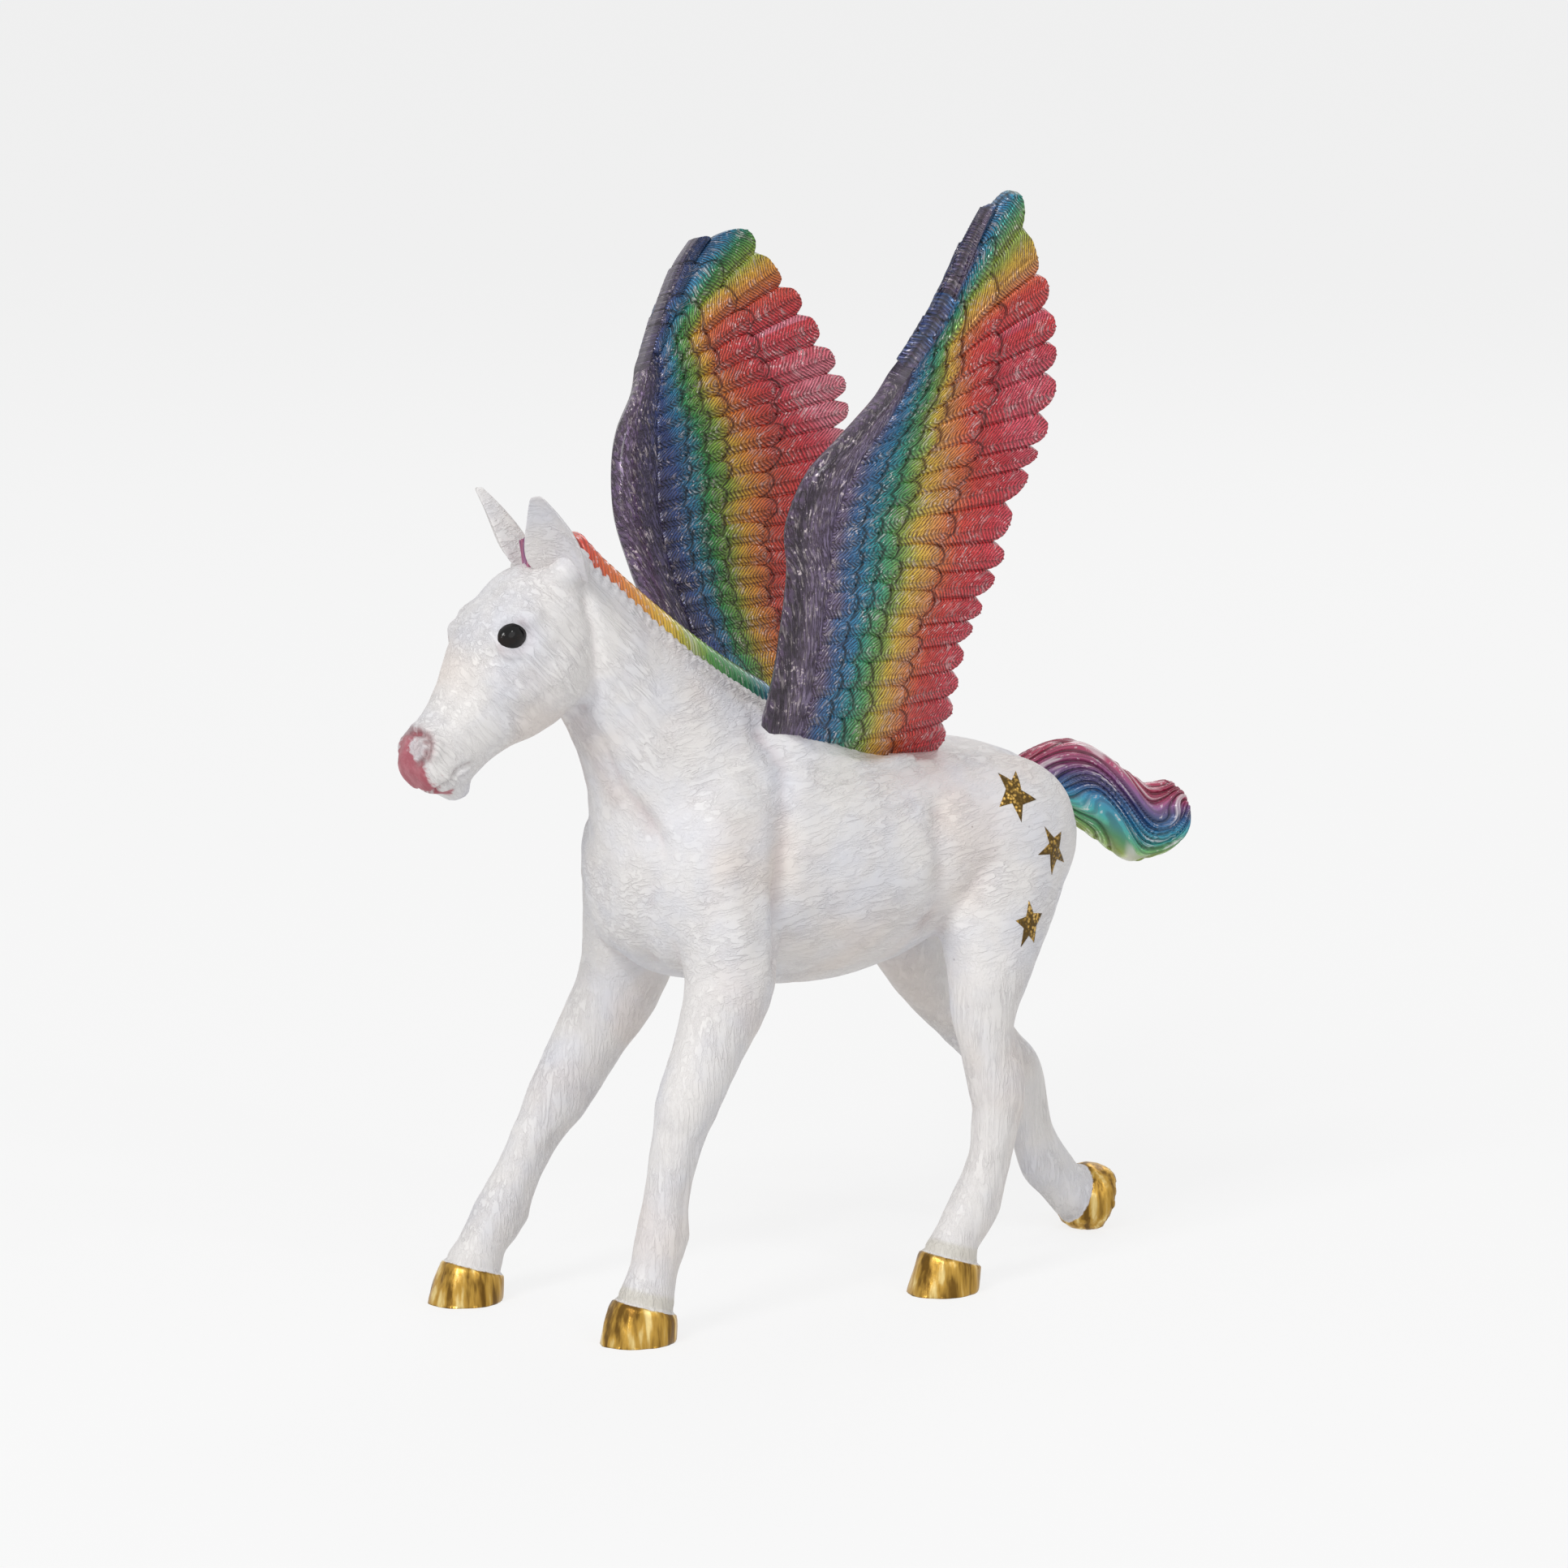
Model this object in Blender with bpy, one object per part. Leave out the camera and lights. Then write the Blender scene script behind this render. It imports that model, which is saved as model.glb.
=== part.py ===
"""Winged foal figurine: one moulded body and two moulded wings glued into its back.

The foal faces -Y, its left side is +X and it stands on the plane Z = 0.
Sizes and outline points below are millimetres, and every mesh is written in metres.
"""

import math

import bmesh
import bpy
from mathutils import Matrix, Vector

MM = 0.001

# Trunk
BELLY_HEIGHT = 29.8
TRUNK_DEPTH = 27.4
TRUNK_WIDTH = 22.8
TRUNK_LENGTH = 53.4
CHEST_PLACE = -18.0

# Neck and head
NECK_RISE = 16.2
NECK_REACH = 22.5
NECK_BASE_WIDTH = 16.6
NECK_TOP_WIDTH = 9.2
HEAD_LENGTH = 23.2
HEAD_DEPTH = 14.0
HEAD_WIDTH = 10.6
HEAD_PITCH = 50.8
EAR_LENGTH = 6.8
EAR_WIDTH = 5.2
EAR_SPREAD = 6.4
EAR_TURN = 28.0
EYE_LENGTH = 3.6
EYE_BULGE = 1.5
THROAT_DEPTH = 13.6

# Legs
LEG_HEIGHT = 42.0
STANCE_WIDTH = 23.2
LEG_THICKNESS = 10.0
STRIDE_LENGTH = 20.0
HOOF_HEIGHT = 3.2
HOOF_LENGTH = 6.7
HOOF_WIDTH = 5.9
HOOF_SLANT = 0.9
SOLE_CUT = 0.6

# Mane and tail
MANE_WIDTH = 3.4
LOCK_LENGTH = 11.0
LOCK_COUNT = 7
LOCK_WIDTH = 3.5
LOCK_THICKNESS = 2.0
LOCK_WAVE = 0.9
TAIL_LENGTH = 21.0
TAIL_DEPTH = 10.0
TAIL_STRANDS = 6
TAIL_THICKNESS = 3.3

# Wings
LEFT_WING_HEIGHT = 49.5
RIGHT_WING_HEIGHT = 45.5
WING_CHORD = 28.0
WING_ROOT_OFFSET = 7.0
WING_FLARE = 5.4
WING_FLARE_HEIGHT = 7.0
WING_LEAN = 0.212
WING_TOE_IN = 3.0
WING_THICKNESS = 3.2
FEATHER_THICKNESS = 1.2
FEATHER_STEP = 0.5
FEATHER_NOTCH = 1.5
SEAT_GAP = 0.3

# Surface of the moulding
SURFACE_STEP = 0.6
FACES_KEPT = 0.07
RING_SIDES = 24

# Half sizes of the muscles and other swellings: across, along and up
SHOULDER_MUSCLE = (4.2, 6.4, 9.5)
BREAST_MUSCLE = (4.4, 5.6, 8.0)
HAUNCH_MUSCLE = (5.4, 9.4, 8.6)
WING_MOUND = (3.8, 9.0, 5.0)
CHEEK = (2.7, 4.5, 4.3)
NOSTRIL_RIM = (1.2, 1.3, 1.4)
LOWER_LIP = (1.7, 1.5, 1.0)
FORELOCK = (1.7, 2.4, 1.5)

# Places that follow from the sizes above
WITHERS_HEIGHT = BELLY_HEIGHT + TRUNK_DEPTH
WITHERS_PLACE = CHEST_PLACE + 0.35 * TRUNK_LENGTH
RUMP_PLACE = CHEST_PLACE + TRUNK_LENGTH
SHOULDER_PLACE = CHEST_PLACE + 0.1554 * TRUNK_LENGTH
HIP_PLACE = RUMP_PLACE - 0.1985 * TRUNK_LENGTH
POLL = Vector((0.0, WITHERS_PLACE - 1.1156 * NECK_REACH, WITHERS_HEIGHT + NECK_RISE))

# Trunk rings: share of the length, top and bottom share of the depth, share of the width
TRUNK_RINGS = (
    (0.01, 0.56, 0.34, 0.24),
    (0.045, 0.74, 0.19, 0.62),
    (0.12, 0.88, 0.09, 0.82),
    (0.23, 0.99, 0.04, 0.90),
    (0.34, 1.00, 0.01, 0.95),
    (0.47, 0.92, 0.00, 1.00),
    (0.60, 0.85, 0.05, 0.99),
    (0.71, 0.83, 0.14, 0.96),
    (0.82, 0.80, 0.19, 0.92),
    (0.92, 0.72, 0.20, 0.74),
    (0.98, 0.60, 0.26, 0.44),
    (1.00, 0.51, 0.35, 0.18),
)

# Head rings: along and out at the forehead side, along and out at the jaw side, share of the width
HEAD_RINGS = (
    (-0.06, -0.12, 0.05, -0.50, 0.55),
    (0.00, 0.00, 0.19, -0.73, 0.82),
    (0.14, 0.17, 0.43, -0.82, 0.95),
    (0.34, 0.20, 0.58, -0.74, 1.00),
    (0.52, 0.14, 0.71, -0.60, 0.82),
    (0.68, 0.07, 0.82, -0.53, 0.64),
    (0.81, 0.05, 0.90, -0.50, 0.58),
    (0.92, 0.06, 0.98, -0.46, 0.60),
    (1.00, 0.02, 1.05, -0.34, 0.54),
    (1.045, -0.06, 1.08, -0.25, 0.34),
)

# Ear rings from below the skin to the tip, and hoof rings from above the coronet to the sole:
# share of the length and share of the width
EAR_RINGS = (
    (-0.2, 0.62),
    (0.0, 0.80),
    (0.2, 0.97),
    (0.45, 1.0),
    (0.7, 0.72),
    (0.9, 0.30),
    (1.0, 0.06),
)
HOOF_RINGS = (
    (-0.25, 0.80),
    (0.0, 0.90),
    (0.3, 0.97),
    (0.7, 1.02),
    (1.0, 1.05),
)

# Leg joints: share of the leg height, share of the half stance, way from the trunk's anchor as
# a share of the stride, and half width and half depth as shares of the half leg thickness
LEFT_FORE_JOINTS = (
    (1.00, 0.56, 0.07, 0.9, 1.24),
    (0.79, 0.74, 0.05, 0.78, 0.94),
    (0.64, 0.85, -0.115, 0.62, 0.72),
    (0.51, 0.94, -0.285, 0.54, 0.62),
    (0.44, 0.96, -0.34, 0.44, 0.5),
    (0.32, 0.98, -0.41, 0.4, 0.45),
    (0.225, 0.99, -0.445, 0.46, 0.52),
    (0.15, 1.00, -0.5, 0.42, 0.48),
    (0.08, 1.01, -0.55, 0.52, 0.58),
)
RIGHT_FORE_JOINTS = (
    (1.00, -0.56, 0.05, 0.9, 1.24),
    (0.74, -0.74, 0.02, 0.78, 0.92),
    (0.59, -0.86, -0.13, 0.64, 0.74),
    (0.45, -0.94, -0.295, 0.56, 0.63),
    (0.38, -0.96, -0.39, 0.44, 0.5),
    (0.285, -0.97, -0.515, 0.4, 0.46),
    (0.19, -0.98, -0.62, 0.46, 0.55),
    (0.133, -0.99, -0.705, 0.42, 0.48),
    (0.076, -1.00, -0.765, 0.52, 0.6),
)
LEFT_HIND_JOINTS = (
    (1.00, 0.52, 0.0, 1.0, 1.64),
    (0.86, 0.67, -0.1, 0.92, 1.32),
    (0.74, 0.77, -0.17, 0.78, 0.92),
    (0.64, 0.86, -0.24, 0.6, 0.68),
    (0.55, 0.91, -0.235, 0.48, 0.56),
    (0.457, 0.94, -0.19, 0.48, 0.6),
    (0.39, 0.95, -0.195, 0.42, 0.5),
    (0.285, 0.96, -0.25, 0.39, 0.45),
    (0.18, 0.965, -0.35, 0.45, 0.52),
    (0.117, 0.97, -0.445, 0.42, 0.48),
    (0.074, 0.98, -0.49, 0.52, 0.58),
)
RIGHT_HIND_JOINTS = (
    (0.98, -0.52, 0.075, 1.0, 1.6),
    (0.81, -0.60, -0.03, 0.88, 1.24),
    (0.68, -0.61, 0.07, 0.72, 0.96),
    (0.56, -0.59, 0.26, 0.6, 0.76),
    (0.46, -0.57, 0.43, 0.52, 0.6),
    (0.386, -0.53, 0.56, 0.5, 0.6),
    (0.31, -0.50, 0.61, 0.42, 0.5),
    (0.233, -0.45, 0.645, 0.4, 0.46),
    (0.167, -0.40, 0.695, 0.46, 0.54),
    (0.117, -0.35, 0.775, 0.42, 0.48),
    (0.086, -0.32, 0.85, 0.52, 0.58),
)

# Wing outlines as share of the chord and share of the wing height: the arm from the root to
# the last feather's base, that feather's front edge, and the feather tips from the root up
LEFT_WING = {
    "arm": (
        (0.07, -0.10),
        (0.02, 0.06),
        (-0.03, 0.20),
        (-0.065, 0.33),
        (-0.105, 0.42),
        (-0.05, 0.52),
        (0.08, 0.59),
        (0.195, 0.65),
        (0.25, 0.69),
    ),
    "front": (
        (0.25, 0.69),
        (0.39, 0.81),
        (0.49, 0.95),
        (0.535, 1.01),
    ),
    "tips": (
        (0.90, -0.15),
        (0.83, -0.03),
        (0.787, 0.03),
        (0.755, 0.087),
        (0.735, 0.141),
        (0.74, 0.196),
        (0.758, 0.232),
        (0.787, 0.289),
        (0.812, 0.337),
        (0.815, 0.404),
        (0.859, 0.487),
        (0.887, 0.535),
        (0.916, 0.582),
        (0.93, 0.665),
        (0.912, 0.737),
        (0.894, 0.794),
        (0.841, 0.875),
        (0.78, 0.933),
        (0.68, 1.055),
        (0.565, 1.03),
    ),
}
RIGHT_WING = {
    "arm": (
        (0.10, -0.11),
        (0.09, 0.06),
        (0.065, 0.20),
        (0.03, 0.32),
        (0.01, 0.42),
        (0.03, 0.52),
        (0.07, 0.60),
        (0.14, 0.67),
        (0.17, 0.72),
    ),
    "front": (
        (0.17, 0.72),
        (0.275, 0.84),
        (0.38, 0.94),
        (0.46, 0.99),
    ),
    "tips": (
        (0.92, -0.15),
        (0.85, -0.03),
        (0.81, 0.04),
        (0.79, 0.095),
        (0.78, 0.15),
        (0.79, 0.20),
        (0.805, 0.245),
        (0.83, 0.295),
        (0.86, 0.345),
        (0.90, 0.41),
        (0.95, 0.48),
        (1.00, 0.55),
        (1.03, 0.61),
        (1.035, 0.67),
        (1.00, 0.73),
        (0.945, 0.80),
        (0.885, 0.87),
        (0.805, 0.93),
        (0.70, 1.02),
        (0.49, 1.01),
    ),
}
# Feather rows from the arm to the tips, as shares of the way, and the lines across a short
# row and a long one
FEATHER_ROWS = (0.0, 0.17, 0.30, 0.46, 0.68, 1.0)
SHORT_ROW_LINES = (0.04, 0.96)
LONG_ROW_LINES = (0.03, 0.5, 0.97)
LONG_ROW_WIDTH = 0.2
LINES_PER_FEATHER = 3

# Tail middle line: share of the tail length, rise and half depth as shares of the tail depth
TAIL_LINE = (
    (-0.12, -0.02, 0.26),
    (0.06, 0.04, 0.30),
    (0.24, 0.02, 0.36),
    (0.42, -0.15, 0.44),
    (0.60, -0.41, 0.48),
    (0.80, -0.57, 0.44),
    (0.97, -0.45, 0.28),
)


def clear_scene():
    for item in list(bpy.data.objects):
        bpy.data.objects.remove(item, do_unlink=True)


def paint(name, colour, roughness, metallic=0.0):
    material = bpy.data.materials.new(name)
    material.use_nodes = True
    shader = material.node_tree.nodes["Principled BSDF"]
    shader.inputs["Base Color"].default_value = (*colour, 1.0)
    shader.inputs["Roughness"].default_value = roughness
    shader.inputs["Metallic"].default_value = metallic
    return material


def follow(points, share):
    """A point at a share of the way along a smooth curve through evenly counted points."""
    place = min(max(share, 0.0), 1.0) * (len(points) - 1)
    start = min(int(place), len(points) - 2)
    way = place - start
    before = points[max(start - 1, 0)]
    after = points[min(start + 2, len(points) - 1)]
    result = []
    for a, b, c, d in zip(before, points[start], points[start + 1], after):
        slope_in = (c - a) / 2.0
        slope_out = (d - b) / 2.0
        squared = way * way
        cubed = squared * way
        result.append(
            b * (2 * cubed - 3 * squared + 1)
            + slope_in * (cubed - 2 * squared + way)
            + c * (3 * squared - 2 * cubed)
            + slope_out * (cubed - squared)
        )
    return result


def bend(start, middle, end, share):
    """A point on the quadratic curve from start to end that is pulled towards middle."""
    rest = 1.0 - share
    return start * rest * rest + middle * 2.0 * rest * share + end * share * share


def skin(mesh, rings):
    """Closes a body over rings of points, with a flat cap on each end."""
    loops = [[mesh.verts.new(point * MM) for point in ring] for ring in rings]
    for lower, upper in zip(loops, loops[1:]):
        for index in range(len(lower)):
            following = (index + 1) % len(lower)
            mesh.faces.new((lower[index], lower[following], upper[following], upper[index]))
    mesh.faces.new(list(reversed(loops[0])))
    mesh.faces.new(loops[-1])


def ring(centre, side, depth, half_side, half_depth):
    """An oval ring about a centre, in the plane of the side and depth directions."""
    points = []
    for index in range(RING_SIDES):
        angle = 2.0 * math.pi * index / RING_SIDES
        aside = side * (half_side * math.cos(angle))
        points.append(centre + aside + depth * (half_depth * math.sin(angle)))
    return points


def limb(mesh, stations, grow=0.0):
    """Skins oval rings along stations of centre, half width and half depth."""
    rings = []
    for index, (centre, half_side, half_depth) in enumerate(stations):
        before = stations[max(index - 1, 0)][0]
        after = stations[min(index + 1, len(stations) - 1)][0]
        along = (after - before).normalized()
        side = Vector((1.0, 0.0, 0.0))
        side = (side - along * side.dot(along)).normalized()
        rings.append(ring(centre, side, along.cross(side), half_side + grow, half_depth + grow))
    skin(mesh, rings)


def swelling(mesh, centre, half_sizes, pitch=0.0, grow=0.0):
    """Adds an egg-shaped swelling, turned about X by the pitch in degrees."""
    place = Matrix.Translation(centre * MM) @ Matrix.Rotation(math.radians(pitch), 4, "X")
    size = Matrix.Diagonal([(half + grow) * MM for half in half_sizes]).to_4x4()
    bmesh.ops.create_uvsphere(mesh, u_segments=24, v_segments=16, radius=1.0, matrix=place @ size)


def both_sides(mesh, centre, half_sizes, pitch=0.0, grow=0.0):
    for side in (-1.0, 1.0):
        swelling(mesh, Vector((side * centre[0], centre[1], centre[2])), half_sizes, pitch, grow)


def add_trunk(mesh, grow=0.0):
    rings = []
    for along, top, bottom, width in TRUNK_RINGS:
        middle = BELLY_HEIGHT + TRUNK_DEPTH * (top + bottom) / 2.0
        centre = Vector((0.0, CHEST_PLACE + along * TRUNK_LENGTH, middle))
        half_width = width * TRUNK_WIDTH / 2.0 + grow
        half_depth = TRUNK_DEPTH * (top - bottom) / 2.0 + grow
        rings.append(ring(centre, Vector((1, 0, 0)), Vector((0, 0, 1)), half_width, half_depth))
    skin(mesh, rings)

    def trunk_place(aside, along, up):
        return (aside * TRUNK_WIDTH, CHEST_PLACE + along * TRUNK_LENGTH, BELLY_HEIGHT + up * TRUNK_DEPTH)

    shoulder = trunk_place(0.30, 0.1835, 0.471)
    breast = trunk_place(0.15, 0.1236, 0.416)
    haunch = trunk_place(0.26, 0.7903, 0.4526)
    wing_root = trunk_place(0.19, 0.3575, 0.7883)
    both_sides(mesh, shoulder, SHOULDER_MUSCLE, -12.0, grow)
    both_sides(mesh, breast, BREAST_MUSCLE, 0.0, grow)
    both_sides(mesh, haunch, HAUNCH_MUSCLE, 20.0, grow)
    both_sides(mesh, wing_root, WING_MOUND, -8.0, grow)


def neck_station(share):
    """The front point, crest point and half width of the neck at a share of its rise."""
    def shift(reach, up):
        return Vector((0.0, reach * NECK_REACH, up * NECK_RISE))

    withers = Vector((0.0, WITHERS_PLACE, WITHERS_HEIGHT)) + shift(0.071, -0.0247)
    crest = bend(withers, withers + shift(-0.391, 0.185), POLL + shift(0.16, 0.006), share)
    chest = Vector((0.0, CHEST_PLACE + 0.0056 * TRUNK_LENGTH, BELLY_HEIGHT + 0.5693 * TRUNK_DEPTH))
    throat = POLL + Vector((0.0, 0.04 * NECK_REACH, -THROAT_DEPTH))
    front = bend(chest, chest + shift(-0.009, 0.4938), throat, share)
    half_width = (NECK_BASE_WIDTH + (NECK_TOP_WIDTH - NECK_BASE_WIDTH) * share ** 0.7) / 2.0
    return front, crest, half_width


def add_neck(mesh, grow=0.0):
    rings = []
    for index in range(8):
        front, crest, half_width = neck_station(index / 7.0)
        across = crest - front
        middle = (front + crest) / 2.0
        rings.append(ring(middle, Vector((1, 0, 0)), across.normalized(), half_width + grow,
                          across.length / 2.0 + grow))
    skin(mesh, rings)


def head_point(along, out, aside=0.0):
    """A point in the head's own frame: along the face from the poll, out of the forehead."""
    pitch = math.radians(HEAD_PITCH)
    forward = Vector((0.0, -math.cos(pitch), -math.sin(pitch)))
    outward = Vector((0.0, -math.sin(pitch), math.cos(pitch)))
    return POLL + forward * (along * HEAD_LENGTH) + outward * (out * HEAD_DEPTH) + Vector((aside, 0.0, 0.0))


def add_head(mesh):
    rings = []
    for along_top, top, along_bottom, bottom, width in HEAD_RINGS:
        forehead = head_point(along_top, top)
        jaw = head_point(along_bottom, bottom)
        across = forehead - jaw
        rings.append(ring((forehead + jaw) / 2.0, Vector((1, 0, 0)), across.normalized(),
                          width * HEAD_WIDTH / 2.0, across.length / 2.0))
    skin(mesh, rings)
    half = HEAD_WIDTH / 2.0
    eye = (EYE_BULGE, 0.56 * EYE_LENGTH, 0.46 * EYE_LENGTH)
    both_sides(mesh, head_point(0.38, -0.44, 0.52 * half), CHEEK, 20.0)
    both_sides(mesh, head_point(0.41, -0.05, 0.70 * half), eye, 40.0)
    both_sides(mesh, head_point(0.94, -0.07, 0.38 * half), NOSTRIL_RIM)
    swelling(mesh, head_point(0.98, -0.45), LOWER_LIP, 10.0)


def add_ear(mesh, side):
    """A pointed leaf that is hollow in front, with its rim rolled forward."""
    base = head_point(0.02, -0.05, side * EAR_SPREAD / 2.0)
    tip = base + Vector((side * 0.26, -0.44, 0.93)) * EAR_LENGTH
    turn = Matrix.Rotation(math.radians(side * EAR_TURN), 3, "Z")
    rings = []
    for share, width in EAR_RINGS:
        centre = base + (tip - base) * share
        half_width = width * EAR_WIDTH / 2.0
        points = []
        for index in range(RING_SIDES):
            angle = 2.0 * math.pi * index / RING_SIDES
            across = half_width * math.cos(angle)
            curl = 0.55 * half_width * (across / half_width) ** 2
            through = (0.048 + 0.081 * width) * EAR_WIDTH * math.sin(angle) - curl
            points.append(centre + turn @ Vector((across, through, 0.0)))
        rings.append(points)
    skin(mesh, rings)


def add_leg(mesh, joints, anchor):
    half_leg = LEG_THICKNESS / 2.0
    stations = []
    for height, aside, along, half_side, half_depth in joints:
        place = anchor + along * STRIDE_LENGTH
        centre = Vector((aside * STANCE_WIDTH / 2.0, place, height * LEG_HEIGHT))
        stations.append((centre, half_side * half_leg, half_depth * half_leg))
    limb(mesh, stations)
    return stations[-1][0]


def add_hoof(mesh, coronet, sole, facing):
    """A hoof from the coronet to its sole, which faces along the given direction."""
    along = (sole - coronet).normalized()
    rings = []
    for share, spread in HOOF_RINGS:
        direction = (along * (1.0 - share) + facing * share).normalized()
        side = Vector((1.0, 0.0, 0.0))
        side = (side - direction * side.dot(direction)).normalized()
        rings.append(ring(coronet + (sole - coronet) * share, side, direction.cross(side),
                          spread * HOOF_WIDTH / 2.0, spread * HOOF_LENGTH / 2.0))
    skin(mesh, rings)


def add_legs(mesh):
    down = Vector((0.0, 0.0, -1.0))
    for joints, anchor in (
        (LEFT_FORE_JOINTS, SHOULDER_PLACE),
        (RIGHT_FORE_JOINTS, SHOULDER_PLACE),
        (LEFT_HIND_JOINTS, HIP_PLACE),
    ):
        coronet = add_leg(mesh, joints, anchor)
        coronet.z = HOOF_HEIGHT
        sole = Vector((coronet.x, coronet.y - HOOF_SLANT, -SOLE_CUT))
        add_hoof(mesh, coronet, sole, down)
    coronet = add_leg(mesh, RIGHT_HIND_JOINTS, HIP_PLACE)
    backward = Vector((0.0, 0.94, -0.34))
    sole = coronet + Vector((0.05 * HOOF_WIDTH, 0.8 * HOOF_HEIGHT, 0.0))
    sole.z = 0.398 * HOOF_LENGTH
    add_hoof(mesh, coronet, sole, backward)


def add_mane(mesh, grow=0.0):
    """A ridge along the crest, with locks that hang down the right side of the neck."""
    stations = []
    for index in range(10):
        share = 0.02 + 0.98 * index / 9.0
        crest = neck_station(share)[1]
        width = MANE_WIDTH / 2.0 * (0.55 + 0.45 * math.sin(math.pi * share))
        stations.append((crest + Vector((-0.265, 0.03, -0.06)) * MANE_WIDTH, width, 1.15 * width))
    limb(mesh, stations, grow)
    for lock in range(LOCK_COUNT):
        share = 0.22 + 0.72 * lock / (LOCK_COUNT - 1)
        crest = neck_station(share)[1]
        half_width = neck_station(share)[2]
        stations = []
        for step in range(7):
            way = step / 6.0
            drop = LOCK_LENGTH * (0.75 + 0.25 * math.sin(2.3 * lock)) * way
            reach = half_width - 0.2 * LOCK_THICKNESS
            aside = -0.353 * MANE_WIDTH - reach * math.sin(min(way * 1.7, 1.0) * math.pi / 2.0)
            wave = LOCK_WAVE * math.sin(2.6 * math.pi * way + lock)
            trail = 0.136 * LOCK_LENGTH * way + wave
            centre = crest + Vector((aside, trail, 0.2 * LOCK_THICKNESS - drop))
            half_thickness = LOCK_THICKNESS / 2.0 * (1.0 - 0.55 * way)
            stations.append((centre, half_thickness, LOCK_WIDTH / 2.0 * (1.0 - 0.75 * way ** 2)))
        limb(mesh, stations, grow)
    swelling(mesh, head_point(0.06, 0.10), FORELOCK, 30.0, grow)


def add_tail(mesh):
    """Waved strands side by side along the tail's middle line, which narrows to a tip."""
    root = Vector((0.0, RUMP_PLACE - 0.143 * TAIL_LENGTH, BELLY_HEIGHT + 0.63 * TRUNK_DEPTH))
    for strand in range(TAIL_STRANDS):
        fan = 1.0 - 2.0 * strand / (TAIL_STRANDS - 1)
        stations = []
        for step in range(11):
            way = step / 10.0
            back, up, spread = follow(TAIL_LINE, way * (1.0 - 0.10 * fan * fan))
            wave = 0.05 * math.sin(2.0 * math.pi * (1.3 * way + 0.21 * strand))
            lift = (up + (0.70 * fan + wave) * spread) * TAIL_DEPTH
            aside = 0.26 * TAIL_THICKNESS * math.sin(2.0 * math.pi * (0.9 * way + 0.37 * strand))
            half = 0.30 * spread * TAIL_DEPTH * (1.0 - 0.45 * way ** 5)
            stations.append((root + Vector((aside, back * TAIL_LENGTH, lift)), 0.55 * TAIL_THICKNESS, half))
        limb(mesh, stations)


def ground_cutter():
    """A slab below the ground, which cuts the soles flat."""
    reach = 2.0 * (TRUNK_LENGTH + TAIL_LENGTH)
    depth = LEG_HEIGHT / 2.0
    bpy.ops.mesh.primitive_cube_add(size=1.0, location=(0.0, 0.0, -0.5 * depth * MM))
    cutter = bpy.context.object
    cutter.name = "ground_cutter"
    cutter.scale = (reach * MM, reach * MM, depth * MM)
    cutter.hide_render = True
    cutter.display_type = "WIRE"
    return cutter


def make_object(name, mesh, material):
    data = bpy.data.meshes.new(name)
    mesh.to_mesh(data)
    mesh.free()
    data.materials.append(material)
    item = bpy.data.objects.new(name, data)
    bpy.context.collection.objects.link(item)
    return item


def moulded(item):
    """The item's overlapping shapes as one closed skin, without the pockets sealed inside it."""
    remesh = item.modifiers.new("one_moulding", "REMESH")
    remesh.mode = "VOXEL"
    remesh.voxel_size = SURFACE_STEP * MM
    evaluated = item.evaluated_get(bpy.context.evaluated_depsgraph_get())
    whole = bpy.data.meshes.new_from_object(evaluated)
    item.modifiers.remove(remesh)
    mesh = bmesh.new()
    mesh.from_mesh(whole)
    bpy.data.meshes.remove(whole)
    waiting = set(mesh.verts)
    islands = []
    while waiting:
        island = {waiting.pop()}
        edge = list(island)
        while edge:
            vert = edge.pop()
            near = [link.other_vert(vert) for link in vert.link_edges]
            fresh = [other for other in near if other not in island]
            island.update(fresh)
            edge.extend(fresh)
        waiting -= island
        islands.append(island)
    islands.sort(key=len)
    for island in islands[:-1]:
        bmesh.ops.delete(mesh, geom=list(island), context="VERTS")
    mesh.to_mesh(item.data)
    mesh.free()


def thin_out(item):
    """Softens the skin's steps and keeps only the faces that its form needs."""
    smooth = item.modifiers.new("soft_edges", "SMOOTH")
    smooth.factor = 0.5
    smooth.iterations = 7
    decimate = item.modifiers.new("fewer_faces", "DECIMATE")
    decimate.ratio = FACES_KEPT


def make_body(material):
    mesh = bmesh.new()
    add_trunk(mesh)
    add_neck(mesh)
    add_head(mesh)
    add_ear(mesh, -1.0)
    add_ear(mesh, 1.0)
    add_legs(mesh)
    add_mane(mesh)
    add_tail(mesh)
    bmesh.ops.recalc_face_normals(mesh, faces=mesh.faces[:])
    body = make_object("body", mesh, material)
    moulded(body)
    thin_out(body)
    soles = body.modifiers.new("flat_soles", "BOOLEAN")
    soles.operation = "DIFFERENCE"
    soles.object = ground_cutter()
    return body


def wing_lean(height, root_height):
    """How far from the middle the wing's sheet stands at a height, and its slope there."""
    rise = height - root_height
    if rise < 0.0:
        slope = WING_FLARE / WING_FLARE_HEIGHT + WING_LEAN
        return WING_ROOT_OFFSET + slope * rise, slope
    fade = math.exp(-rise / WING_FLARE_HEIGHT)
    place = WING_ROOT_OFFSET + WING_FLARE * (1.0 - fade) + WING_LEAN * rise
    return place, WING_FLARE / WING_FLARE_HEIGHT * fade + WING_LEAN


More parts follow.
